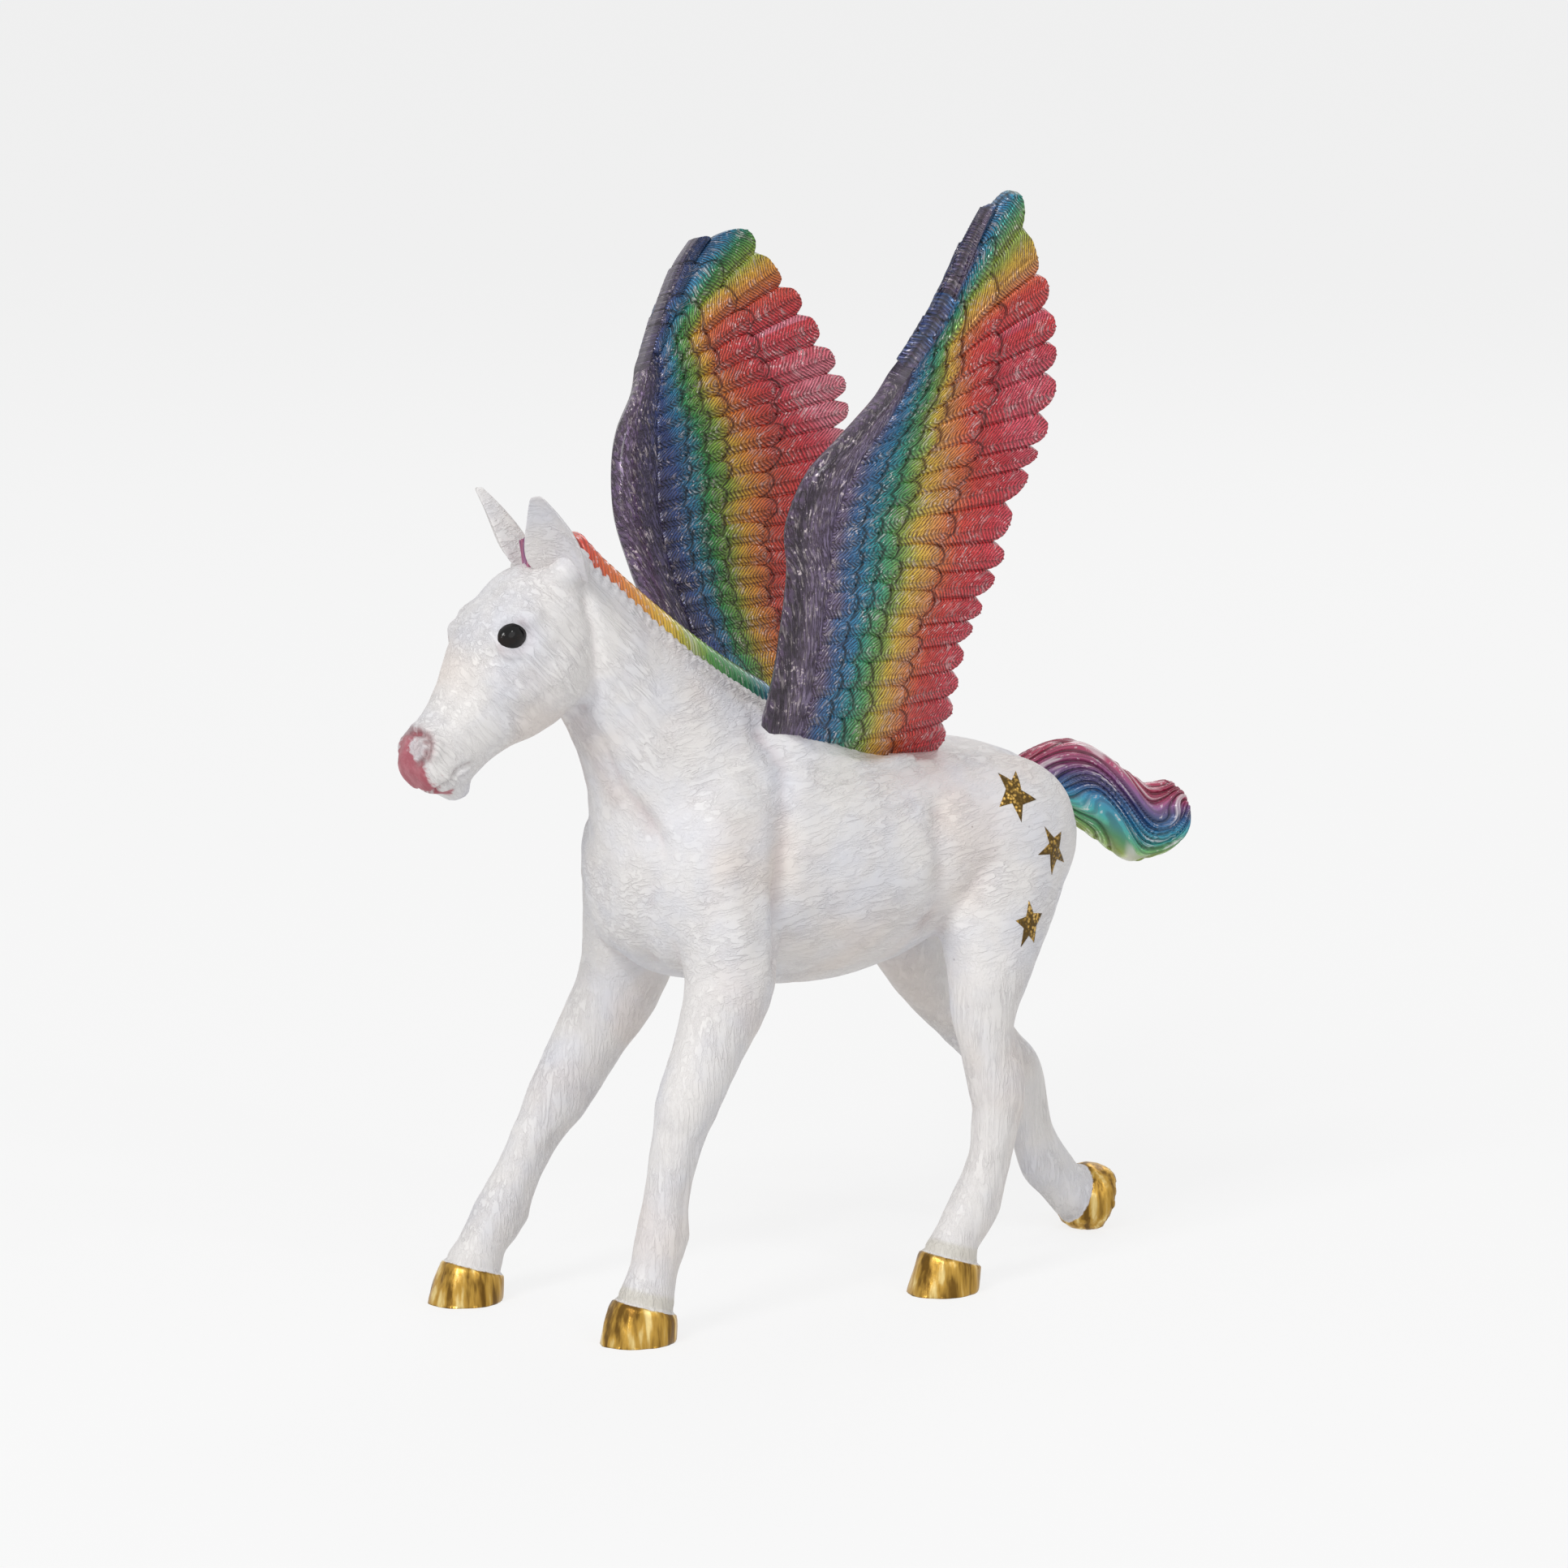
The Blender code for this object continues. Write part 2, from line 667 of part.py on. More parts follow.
def wing_place(outline, across, along):
    """A place on the wing, as shares of chord and height, from a way across and a way along."""
    arm = follow(outline["arm"], along)
    count = len(outline["tips"]) - 1
    tip = follow(outline["tips"], (along * count + 0.5) / count)
    front = follow(outline["front"], across)
    base = outline["arm"][-1]
    end = outline["tips"][-1]
    bow = along ** 4
    result = []
    for k in range(2):
        straight = arm[k] + (tip[k] - arm[k]) * across
        edge = base[k] + (end[k] - base[k]) * across
        result.append(straight + (front[k] - edge) * bow)
    return result


def feather_lines():
    """Lines across the wing: way from arm to tips, place inside its row, and the row's number."""
    lines = []
    for row in range(len(FEATHER_ROWS) - 1):
        width = FEATHER_ROWS[row + 1] - FEATHER_ROWS[row]
        for place in LONG_ROW_LINES if width > LONG_ROW_WIDTH else SHORT_ROW_LINES:
            lines.append((FEATHER_ROWS[row] + place * width, place, row))
    return lines


def make_wing(name, side, outline, rise, material, saddle):
    root_height = BELLY_HEIGHT + 0.92 * TRUNK_DEPTH
    root_place = WITHERS_PLACE - 0.2 * WING_CHORD
    columns = (len(outline["tips"]) - 1) * LINES_PER_FEATHER
    lines = feather_lines()
    mesh = bmesh.new()

    def sheet_point(across, along, half_thickness):
        flat, height = wing_place(outline, across, along)
        aside, slope = wing_lean(root_height + height * rise, root_height)
        toe_in = WING_TOE_IN * max(0.0, 1.0 - 2.4 * flat) * math.exp(-4.5 * max(height, 0.0))
        normal = Vector((1.0, 0.0, -slope)).normalized()
        place = Vector((aside - toe_in, root_place + flat * WING_CHORD, root_height + height * rise))
        point = place + normal * half_thickness
        point.x *= side
        return mesh.verts.new(point * MM)

    grids = []
    for face in (1.0, -1.0):
        grid = []
        for column in range(columns + 1):
            along = column / columns
            strip = []
            for across, place, row in lines:
                local = (column + row) % LINES_PER_FEATHER
                crown = 0.0 if local == 0 else 1.0
                notch = FEATHER_NOTCH / WING_CHORD * (1.0 - crown) * place ** 2
                relief = FEATHER_STEP * place * (0.55 + 0.45 * crown)
                thin = max(across, 0.0) ** 0.6
                thick = (WING_THICKNESS + (FEATHER_THICKNESS - WING_THICKNESS) * thin) / 2.0
                half_thickness = thick - 0.5 * FEATHER_STEP + relief
                strip.append(sheet_point(across - notch, along, face * half_thickness))
            grid.append(strip)
        grids.append(grid)
    arm_edge = [sheet_point(-0.035, column / columns, 0.0) for column in range(columns + 1)]
    outer, inner = grids
    last = len(lines) - 1
    for column in range(columns):
        for line in range(last):
            mesh.faces.new((outer[column][line], outer[column + 1][line],
                            outer[column + 1][line + 1], outer[column][line + 1]))
            mesh.faces.new((inner[column][line], inner[column][line + 1],
                            inner[column + 1][line + 1], inner[column + 1][line]))
        mesh.faces.new((outer[column][last], outer[column + 1][last],
                        inner[column + 1][last], inner[column][last]))
        mesh.faces.new((arm_edge[column], arm_edge[column + 1], outer[column + 1][0], outer[column][0]))
        mesh.faces.new((arm_edge[column + 1], arm_edge[column], inner[column][0], inner[column + 1][0]))
    for column in (0, columns):
        mesh.faces.new((arm_edge[column], outer[column][0], inner[column][0]))
        for line in range(last):
            mesh.faces.new((outer[column][line], outer[column][line + 1],
                            inner[column][line + 1], inner[column][line]))
    bmesh.ops.recalc_face_normals(mesh, faces=mesh.faces[:])
    bmesh.ops.triangulate(mesh, faces=mesh.faces[:])
    wing = make_object(name, mesh, material)
    seat = wing.modifiers.new("root_seat", "BOOLEAN")
    seat.operation = "DIFFERENCE"
    seat.object = saddle
    return wing


def make_saddle():
    """A guide with the back's shape and the seat gap all round, which shapes the wing roots."""
    mesh = bmesh.new()
    add_trunk(mesh, SEAT_GAP)
    add_neck(mesh, SEAT_GAP)
    add_mane(mesh, SEAT_GAP)
    bmesh.ops.recalc_face_normals(mesh, faces=mesh.faces[:])
    saddle = make_object("saddle_guide", mesh, paint("guide", (0.5, 0.5, 0.5), 0.5))
    moulded(saddle)
    thin_out(saddle)
    saddle.hide_render = True
    saddle.display_type = "WIRE"
    return saddle


def centre_origin(pieces):
    """Moves everything so that the origin is under the middle of the pieces' common box."""
    bpy.context.view_layer.update()
    graph = bpy.context.evaluated_depsgraph_get()
    corners = [Vector(corner) for piece in pieces for corner in piece.evaluated_get(graph).bound_box]
    middle = Vector((0.0, 0.0, 0.0))
    for axis in range(2):
        places = [corner[axis] for corner in corners]
        middle[axis] = (min(places) + max(places)) / 2.0
    for item in bpy.data.objects:
        item.location -= middle


def main():
    clear_scene()
    coat = paint("white_coat", (0.86, 0.84, 0.83), 0.38)
    feathers = paint("rainbow_feathers", (0.55, 0.30, 0.30), 0.32, 0.3)
    body = make_body(coat)
    saddle = make_saddle()
    left = make_wing("left_wing", 1.0, LEFT_WING, LEFT_WING_HEIGHT, feathers, saddle)
    right = make_wing("right_wing", -1.0, RIGHT_WING, RIGHT_WING_HEIGHT, feathers, saddle)
    centre_origin((body, left, right))


main()
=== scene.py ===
"""Winged foal figurine, dressed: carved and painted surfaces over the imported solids.

The foal faces -Y, its left side is +X and it stands on Z = 0. Sizes are millimetres unless a
property says otherwise, and every mesh is written in metres.
"""

import math

import bmesh
import bpy
import numpy as np
from mathutils import Matrix, Vector
from mathutils.bvhtree import BVHTree


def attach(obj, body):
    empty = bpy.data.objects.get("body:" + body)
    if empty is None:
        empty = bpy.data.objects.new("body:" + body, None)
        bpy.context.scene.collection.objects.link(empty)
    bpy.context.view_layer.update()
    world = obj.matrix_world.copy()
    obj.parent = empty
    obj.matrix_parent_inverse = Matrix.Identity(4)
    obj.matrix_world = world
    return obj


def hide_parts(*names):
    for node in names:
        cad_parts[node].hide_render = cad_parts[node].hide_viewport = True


bl_info = {
    "name": "Winged Foal Figurine",
    "version": (1, 0, 0),
    "blender": (4, 5, 0),
    "location": "View3D > Sidebar > Foal",
    "description": "Builds the carved coat, eyes, mane, tail and feathered wings of a foal figurine",
    "category": "Add Mesh",
}

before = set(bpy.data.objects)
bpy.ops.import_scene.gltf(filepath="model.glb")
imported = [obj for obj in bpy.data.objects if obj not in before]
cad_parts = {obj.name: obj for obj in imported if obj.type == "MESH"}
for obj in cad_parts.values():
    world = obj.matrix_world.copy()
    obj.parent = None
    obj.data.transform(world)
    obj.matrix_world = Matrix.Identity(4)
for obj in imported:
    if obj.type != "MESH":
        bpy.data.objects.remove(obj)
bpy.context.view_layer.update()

MM = 0.001

# The standing place of the solids: how far the body's own middle line is moved
STAND = Vector((-0.581, -6.871, 0.0))

# Trunk, neck and head
BELLY_HEIGHT = 29.8
TRUNK_DEPTH = 27.4
TRUNK_WIDTH = 22.8
TRUNK_LENGTH = 53.4
CHEST_PLACE = -18.0
NECK_RISE = 16.2
NECK_REACH = 22.5
NECK_BASE_WIDTH = 16.6
NECK_TOP_WIDTH = 9.2
THROAT_DEPTH = 13.6
HEAD_LENGTH = 23.2
HEAD_DEPTH = 14.0
HEAD_WIDTH = 10.6
HEAD_PITCH = 50.8
EAR_LENGTH = 7.1
EAR_WIDTH = 5.2
EAR_SPREAD = 6.4
EAR_TURN = 28.0

# Legs
LEG_HEIGHT = 42.0
STANCE_WIDTH = 23.2
HOOF_HEIGHT = 3.2
HOOF_LENGTH = 6.7
HOOF_WIDTH = 5.9
HOOF_SLANT = 0.9

# Tail
TAIL_THICKNESS = 3.3

# Wings
WING_CHORD = 28.0
WING_ROOT_OFFSET = 7.0
WING_FLARE = 5.4
WING_FLARE_HEIGHT = 7.0
WING_LEAN = 0.212
WING_TOE_IN = 3.0
ARM_HALF = 1.6
TIP_HALF = 0.42

# Places that follow from the sizes above
WITHERS_HEIGHT = BELLY_HEIGHT + TRUNK_DEPTH
WITHERS_PLACE = CHEST_PLACE + 0.35 * TRUNK_LENGTH
RUMP_PLACE = CHEST_PLACE + TRUNK_LENGTH
SHOULDER_PLACE = CHEST_PLACE + 8.3
HIP_PLACE = RUMP_PLACE - 10.6
POLL = Vector((0.0, WITHERS_PLACE - NECK_REACH - 2.6, WITHERS_HEIGHT + NECK_RISE))
ROOT_HEIGHT = BELLY_HEIGHT + 0.92 * TRUNK_DEPTH
ROOT_PLACE = WITHERS_PLACE - 5.6

# Half sizes of the muscles and other swellings: across, along and up
SHOULDER_MUSCLE = (4.2, 6.4, 9.5)
BREAST_MUSCLE = (4.4, 5.6, 8.0)
HAUNCH_MUSCLE = (5.4, 9.4, 8.6)
WING_MOUND = (3.8, 9.0, 5.0)
CHEEK = (2.7, 4.5, 4.3)
NOSTRIL_RIM = (1.2, 1.3, 1.4)
LOWER_LIP = (1.7, 1.5, 1.0)
EYE_MOUND = (1.5, 2.0, 1.65)
EAR_ROOT = (1.7, 2.3, 1.9)

# Trunk rings: share of the length, top and bottom share of the depth, share of the width
TRUNK_RINGS = (
    (0.01, 0.56, 0.34, 0.24),
    (0.045, 0.74, 0.19, 0.62),
    (0.12, 0.88, 0.09, 0.82),
    (0.23, 0.99, 0.04, 0.90),
    (0.34, 1.00, 0.01, 0.95),
    (0.47, 0.92, 0.00, 1.00),
    (0.60, 0.85, 0.05, 0.99),
    (0.71, 0.83, 0.14, 0.96),
    (0.82, 0.80, 0.19, 0.92),
    (0.92, 0.72, 0.20, 0.74),
    (0.98, 0.60, 0.26, 0.44),
    (1.00, 0.51, 0.35, 0.18),
)

# Head rings: along and out at the forehead side, along and out at the jaw side, share of the width
HEAD_RINGS = (
    (-0.06, -0.12, 0.05, -0.50, 0.55),
    (0.00, 0.00, 0.19, -0.73, 0.82),
    (0.14, 0.17, 0.43, -0.82, 0.95),
    (0.34, 0.20, 0.58, -0.74, 1.00),
    (0.52, 0.14, 0.71, -0.60, 0.82),
    (0.68, 0.07, 0.82, -0.53, 0.64),
    (0.81, 0.05, 0.90, -0.50, 0.58),
    (0.92, 0.06, 0.98, -0.46, 0.60),
    (1.00, 0.02, 1.05, -0.34, 0.54),
    (1.045, -0.06, 1.08, -0.25, 0.34),
)

# Ear rings and hoof rings: share of the length and share of the width
EAR_RINGS = (
    (-0.25, 0.92),
    (0.0, 1.14),
    (0.2, 1.16),
    (0.45, 0.98),
    (0.7, 0.68),
    (0.88, 0.42),
    (0.97, 0.26),
    (1.0, 0.10),
)
HOOF_RINGS = (
    (-0.25, 0.80),
    (0.0, 0.90),
    (0.3, 0.97),
    (0.7, 1.02),
    (1.0, 1.05),
)

# Leg joints: share of the leg height, share of the half stance, distance from the trunk's
# anchor, half width and half depth
LEFT_FORE_JOINTS = (
    (1.00, 0.56, 1.4, 4.5, 6.2),
    (0.79, 0.74, 1.0, 3.9, 4.7),
    (0.64, 0.85, -2.3, 3.1, 3.6),
    (0.51, 0.94, -5.7, 2.7, 3.1),
    (0.44, 0.96, -6.8, 2.2, 2.5),
    (0.32, 0.98, -8.2, 2.0, 2.25),
    (0.225, 0.99, -8.9, 2.3, 2.6),
    (0.15, 1.00, -10.0, 2.1, 2.4),
    (0.08, 1.01, -11.0, 2.6, 2.9),
)
RIGHT_FORE_JOINTS = (
    (1.00, -0.56, 1.0, 4.5, 6.2),
    (0.74, -0.74, 0.4, 3.9, 4.6),
    (0.59, -0.86, -2.6, 3.2, 3.7),
    (0.45, -0.94, -5.9, 2.8, 3.15),
    (0.38, -0.96, -7.8, 2.2, 2.5),
    (0.285, -0.97, -10.3, 2.0, 2.3),
    (0.19, -0.98, -12.4, 2.3, 2.75),
    (0.133, -0.99, -14.1, 2.1, 2.4),
    (0.076, -1.00, -15.3, 2.6, 3.0),
)
LEFT_HIND_JOINTS = (
    (1.00, 0.52, 0.0, 5.0, 8.2),
    (0.86, 0.67, -2.0, 4.6, 6.6),
    (0.74, 0.77, -3.4, 3.9, 4.6),
    (0.64, 0.86, -4.8, 3.0, 3.4),
    (0.55, 0.91, -4.7, 2.4, 2.8),
    (0.457, 0.94, -3.8, 2.4, 3.0),
    (0.39, 0.95, -3.9, 2.1, 2.5),
    (0.285, 0.96, -5.0, 1.95, 2.25),
    (0.18, 0.965, -7.0, 2.25, 2.6),
    (0.117, 0.97, -8.9, 2.1, 2.4),
    (0.074, 0.98, -9.8, 2.6, 2.9),
)
RIGHT_HIND_JOINTS = (
    (0.98, -0.52, 1.5, 5.0, 8.0),
    (0.81, -0.60, -0.6, 4.4, 6.2),
    (0.68, -0.61, 1.4, 3.6, 4.8),
    (0.56, -0.59, 5.2, 3.0, 3.8),
    (0.46, -0.57, 8.6, 2.6, 3.0),
    (0.386, -0.53, 11.2, 2.5, 3.0),
    (0.31, -0.50, 12.2, 2.1, 2.5),
    (0.233, -0.45, 12.9, 2.0, 2.3),
    (0.167, -0.40, 13.9, 2.3, 2.7),
    (0.117, -0.35, 15.5, 2.1, 2.4),
    (0.086, -0.32, 17.0, 2.6, 2.9),
)

# Wing outlines as share of the chord and share of the wing height: the arm from the root to
# the last feather's base, that feather's front edge, and the feather tips from the root up
LEFT_WING = {
    "rise": 49.5,
    "arm": ((0.17, -0.10), (0.07, 0.06), (0.012, 0.20), (-0.022, 0.33), (-0.06, 0.42),
            (-0.012, 0.52), (0.10, 0.59), (0.20, 0.65), (0.25, 0.69)),
    "front": ((0.25, 0.69), (0.39, 0.81), (0.49, 0.95), (0.535, 1.01)),
    "tips": ((0.90, -0.15), (0.83, -0.03), (0.787, 0.03), (0.755, 0.087), (0.735, 0.141),
             (0.74, 0.196), (0.758, 0.232), (0.787, 0.289), (0.812, 0.337), (0.815, 0.404),
             (0.859, 0.487), (0.887, 0.535), (0.916, 0.582), (0.93, 0.665), (0.912, 0.737),
             (0.894, 0.794), (0.841, 0.875), (0.78, 0.933), (0.68, 1.055), (0.565, 1.03)),
}
RIGHT_WING = {
    "rise": 45.5,
    "arm": ((0.10, -0.11), (0.09, 0.06), (0.065, 0.20), (0.03, 0.32), (0.01, 0.42),
            (0.03, 0.52), (0.07, 0.60), (0.14, 0.67), (0.17, 0.72)),
    "front": ((0.17, 0.72), (0.275, 0.84), (0.38, 0.94), (0.46, 0.99)),
    "tips": ((0.92, -0.15), (0.85, -0.03), (0.81, 0.04), (0.79, 0.095), (0.78, 0.15),
             (0.79, 0.20), (0.805, 0.245), (0.83, 0.295), (0.86, 0.345), (0.90, 0.41),
             (0.95, 0.48), (1.00, 0.55), (1.03, 0.61), (1.035, 0.67), (1.00, 0.73),
             (0.945, 0.80), (0.885, 0.87), (0.805, 0.93), (0.70, 1.02), (0.49, 1.01)),
}

# Feather rows from the arm back: start and end as shares of the way to the tips, how many,
# lift of the free end, and how far the ends wander
COVERT_ROWS = (
    (0.12, 0.265, 20, 0.22, 0.012),
    (0.19, 0.350, 20, 0.30, 0.012),
    (0.25, 0.450, 19, 0.40, 0.012),
    (0.36, 0.685, 21, 0.40, 0.018),
)
FLIGHT_START = 0.52

# How wide a feather is for its share of the row
COVERT_WIDTH = 1.34
FLIGHT_WIDTH = 1.16

# One feather laid flat: its grid, how many barbs, its width at the base, where its end starts to
# close and by which power, and the lift of its free end in millimetres
COVERT_SHAPE = {"columns": 12, "rows": 16, "barbs": 5.0, "base": 0.80, "rounding": 0.52,
                "power": 2.1, "lift": 0.42}
FLIGHT_SHAPE = {"columns": 12, "rows": 64, "barbs": 21.0, "base": 0.72, "rounding": 0.76,
                "power": 2.0, "lift": 0.10}

# Where the sheet under the feathers starts across the wing, and how fine its grid is
ACROSS_LOW = -0.04
SHEET_ACROSS = 56
SHEET_ALONG = 114

# The slab under the feathers: its columns, where it starts to thin and where it ends
CORE_COLUMNS = 45
CORE_THINS = 0.5
CORE_END = 0.86

# Tail outline in the middle plane: back and up of the top edge, then of the bottom edge
TAIL_EDGES = (
    (27.5, 46.8, 31.0, 42.0),
    (30.8, 48.9, 34.4, 43.4),
    (33.5, 50.0, 36.7, 43.4),
    (36.5, 50.6, 38.9, 42.0),
    (39.4, 50.2, 40.8, 40.8),
    (41.9, 49.0, 42.7, 39.4),
    (44.3, 47.4, 44.5, 38.2),
    (45.8, 46.3, 46.2, 37.7),
    (47.1, 45.4, 48.2, 37.9),
    (48.9, 45.3, 50.0, 38.3),
    (50.3, 45.3, 51.3, 39.0),
    (51.4, 44.8, 52.1, 40.1),
    (52.1, 43.8, 52.5, 41.5),
)

# The ledge under the rear half of a wing root
ROOT_LIP = ((7.0, 6.0, 51.0), (7.0, 9.0, 51.3), (6.9, 12.0, 51.5), (6.6, 13.6, 51.4))

# The left eye's middle, and the half sizes of the hollow that it sits in
EYE_CENTRE = (4.6, -29.9, 66.1)
EYE_HOLLOW = (1.6, 1.75, 1.35)

# Other places on the left side of the face
BROW_MOUND = (3.9, -32.1, 66.6)
BROW_RIDGE = ((4.2, -31.2, 68.3), (4.6, -29.6, 68.7), (4.6, -27.8, 68.2))
NOSTRIL_DISH = (1.3, -38.6, 56.1)
NOSTRIL_FOLD = (
    (0.2, -38.3, 57.5), (0.9, -38.1, 57.5), (1.5, -37.9, 57.35), (2.2, -38.0, 56.9),
    (2.6, -38.2, 56.3), (2.5, -38.3, 55.6), (2.2, -38.5, 55.1), (1.7, -38.7, 54.75),
)
LIP_EDGE = ((0.0, -37.6, 51.6), (1.0, -37.0, 51.6), (1.7, -35.6, 51.9))

# The face's mesh is made finer in front of this place and above this height
FACE_BACK = -19.0
FACE_LOW = 50.0

# The crest's comb shows on the left of the neck, above this height
COMB_HEIGHT = (55.5, 59.0)

# How far a hoof reaches from its coronet, how the rim of a standing one leans, and which feet
# differ from the others: fore left, fore right, hind left and hind right are 0 to 3
HOOF_REACH = 7.5
HOOF_LEAN = (0.0, -0.30, -0.954)
LIFTED_FOOT = 3
CREAM_FEET = (0, 2)

# Paint distances that stand for no hoof and no muzzle at all
NO_HOOF = -9.0
NO_MUZZLE = 9.0

# Carved marks on both sides: points, half width, and height (a groove is below zero)
CARVED_PAIRS = (
    (NOSTRIL_FOLD, 0.30, -0.46),
    (((0.9, -37.8, 58.0), (2.0, -37.5, 57.8), (3.0, -37.4, 56.7), (3.0, -37.7, 55.5)), 0.45, 0.16),
    (((1.2, -38.6, 56.5), (1.3, -38.8, 55.9)), 0.6, -0.12),
    (((0.0, -37.4, 51.9), (1.0, -37.0, 52.1), (2.3, -36.7, 52.6), (2.6, -36.0, 53.0),
      (2.9, -35.5, 53.75), (2.9, -34.9, 54.2), (2.7, -33.6, 54.45)), 0.27, -0.52),
    (((2.8, -34.8, 53.8), (2.7, -33.9, 54.0)), 0.42, 0.10),
    (((2.6, -34.9, 53.4), (2.5, -33.9, 53.45), (2.5, -33.2, 53.9)), 0.26, -0.26),
    (((4.0, -21.9, 69.0), (4.8, -21.3, 66.0), (4.7, -21.0, 62.1), (3.9, -21.0, 59.8),
      (2.4, -21.6, 58.1)), 0.65, -0.46),
    (((3.6, -32.6, 62.9), (4.5, -30.9, 61.4), (4.9, -28.7, 60.6)), 0.8, 0.26),
    (((3.2, -33.6, 61.2), (4.0, -31.6, 59.4), (4.3, -29.0, 58.4)), 1.0, -0.26),
    (((4.4, -32.4, 65.0), (3.6, -34.4, 62.0), (3.0, -36.2, 59.2)), 0.8, -0.22),
    (((2.4, -21.4, 58.0), (2.7, -19.2, 54.6), (3.2, -17.5, 51.2), (4.3, -16.2, 49.2),
      (6.3, -15.2, 46.4)), 0.75, -0.62),
    (((6.4, -3.5, 55.2), (8.0, -2.4, 52.6), (9.6, -3.1, 49.0), (10.4, -3.8, 44.5),
      (10.3, -4.4, 39.1), (10.8, -5.2, 34.4)), 1.3, -0.74),
    (((6.8, -15.3, 45.1), (6.0, -16.0, 41.2), (4.6, -15.9, 37.1), (2.4, -13.6, 33.6)), 1.1, -0.62),
    (((9.3, -10.2, 47.0), (9.9, -10.6, 42.0), (10.0, -9.6, 37.0)), 1.8, 0.36),
    (((8.6, 15.1, 35.3), (10.6, 14.4, 38.6), (11.3, 14.0, 43.0), (10.9, 14.6, 47.0)), 1.3, -0.55),
    (((9.6, 17.1, 34.6), (11.1, 18.0, 32.3), (11.9, 18.6, 29.6)), 1.5, 0.34),
    (((5.6, -1.3, 31.8), (6.1, 3.7, 31.6), (7.2, 7.8, 32.4), (8.4, 10.6, 34.2)), 0.45, 0.26),
    (((5.3, -1.0, 31.0), (5.8, 3.7, 30.8), (6.9, 8.0, 31.6)), 0.5, -0.26),
    (((4.6, -2.6, 57.4), (6.2, -1.9, 55.0), (7.3, 1.5, 53.0), (7.9, 6.6, 52.0), (7.7, 13.0, 51.9),
      (7.0, 16.0, 52.3)), 0.70, 0.34),
)

# Greyer marks along creases on both sides: points and half width
CREASE_GREY_MARKS = (
    (((2.0, -21.6, 57.0), (1.7, -20.7, 54.6), (2.0, -19.3, 52.0), (2.8, -18.0, 50.0)), 1.3),
    (((4.3, -16.3, 49.0), (5.4, -15.7, 47.4)), 0.9),
    (((7.4, -8.6, 34.0), (6.2, -7.4, 32.8)), 1.3),
    (((9.4, 13.6, 36.0), (9.8, 14.8, 34.0)), 1.2),
)

# The rainbow's place along the wing's hand, from the last feather back to the red ones
HAND_BANDS = (
    (0.79, 0.84),
    (0.822, 0.75),
    (0.85, 0.67),
    (0.876, 0.57),
    (0.90, 0.45),
    (0.924, 0.34),
    (0.944, 0.26),
    (0.961, 0.225),
    (0.975, 0.18),
    (1.0, 0.10),
)

# Area lights: place and width in metres, and power in watts
LIGHTS = (
    ("key_light", (0.35, -0.75, 0.75), 0.35, 4.2),
    ("fill_light", (0.90, 0.10, 0.45), 0.60, 0.9),
    ("back_light", (-0.45, 0.60, 0.75), 0.50, 1.6),
    ("first_glint", (0.55, -0.55, 0.55), 0.07, 0.45),
    ("second_glint", (0.75, 0.15, 0.75), 0.07, 0.45),
    ("third_glint", (0.20, -0.60, 0.30), 0.07, 0.20),
)
LIGHTS_AIM = (0.0, 0.0, 0.05)
CAMERA_AIM = (4.89, 0.0, 50.0)

# The foils' rings from the middle out and under the skin: share of the star's size, and height
STAR_RINGS = ((0.15, 0.06), (0.35, 0.06), (0.55, 0.06), (0.75, 0.06), (0.92, 0.06),
              (1.0, 0.03), (1.0, -0.12), (0.4, -0.45))

# Stars on the left haunch: places of their points and inner corners
LEFT_HAUNCH_STARS = (
    ((8.5, 22.7, 49.56), (9.25, 23.78, 48.82), (8.62, 24.77, 49.64), (9.9, 24.51, 47.9),
     (10.25, 25.98, 46.88), (10.48, 24.21, 46.57), (10.92, 23.7, 44.96), (10.32, 23.08, 46.8),
     (10.2, 21.6, 46.56), (9.65, 22.81, 48.14)),
    ((10.9, 26.52, 44.31), (10.8, 27.76, 43.09), (10.46, 28.83, 43.53), (10.6, 28.51, 41.98),
     (10.04, 29.6, 40.4), (10.6, 28.22, 40.92), (10.92, 27.45, 39.47), (10.95, 27.18, 41.53),
     (11.18, 25.6, 41.63), (10.94, 27.08, 42.63)),
    ((12.05, 23.82, 37.47), (12.12, 24.39, 36.17), (11.76, 25.63, 36.0), (12.04, 24.65, 34.89),
     (12.09, 24.38, 33.28), (12.33, 23.57, 34.1), (12.51, 22.48, 33.11), (12.35, 22.97, 34.87),
     (12.3, 21.99, 35.7), (12.24, 23.33, 35.98)),
)


def linear(code):
    """A colour from its six-figure web code, as linear light."""
    values = [int(code[place:place + 2], 16) / 255.0 for place in (0, 2, 4)]
    return tuple(v / 12.92 if v <= 0.04045 else ((v + 0.055) / 1.055) ** 2.4 for v in values) + (1.0,)


# Rainbow of the wings from the arm to the feather tips, for the outer face, and for the inner face as the
# same paint darkened with painted shade
OUTER_RAINBOW = (
    (0.00, "4a3d50"), (0.05, "7b6a86"), (0.16, "74678a"), (0.21, "3f6fa8"), (0.28, "2f8cb8"),
    (0.345, "2fa494"), (0.41, "64b264"), (0.475, "b4c54c"), (0.525, "efc744"), (0.60, "f0a552"),
    (0.68, "f57a42"), (0.74, "ee4a3c"), (0.88, "e63344"), (1.00, "ea5268"),
)
SHADED_INNER_RAINBOW = (
    (0.00, "6b5578"), (0.05, "4a3a60"), (0.13, "3d3760"), (0.21, "2f4f92"), (0.29, "2384ae"),
    (0.37, "2b9a4a"), (0.45, "8ab034"), (0.52, "e0b02e"), (0.60, "e68430"), (0.69, "da4c30"),
    (0.82, "de343e"), (0.92, "e24a5c"), (1.00, "ee8496"),
)
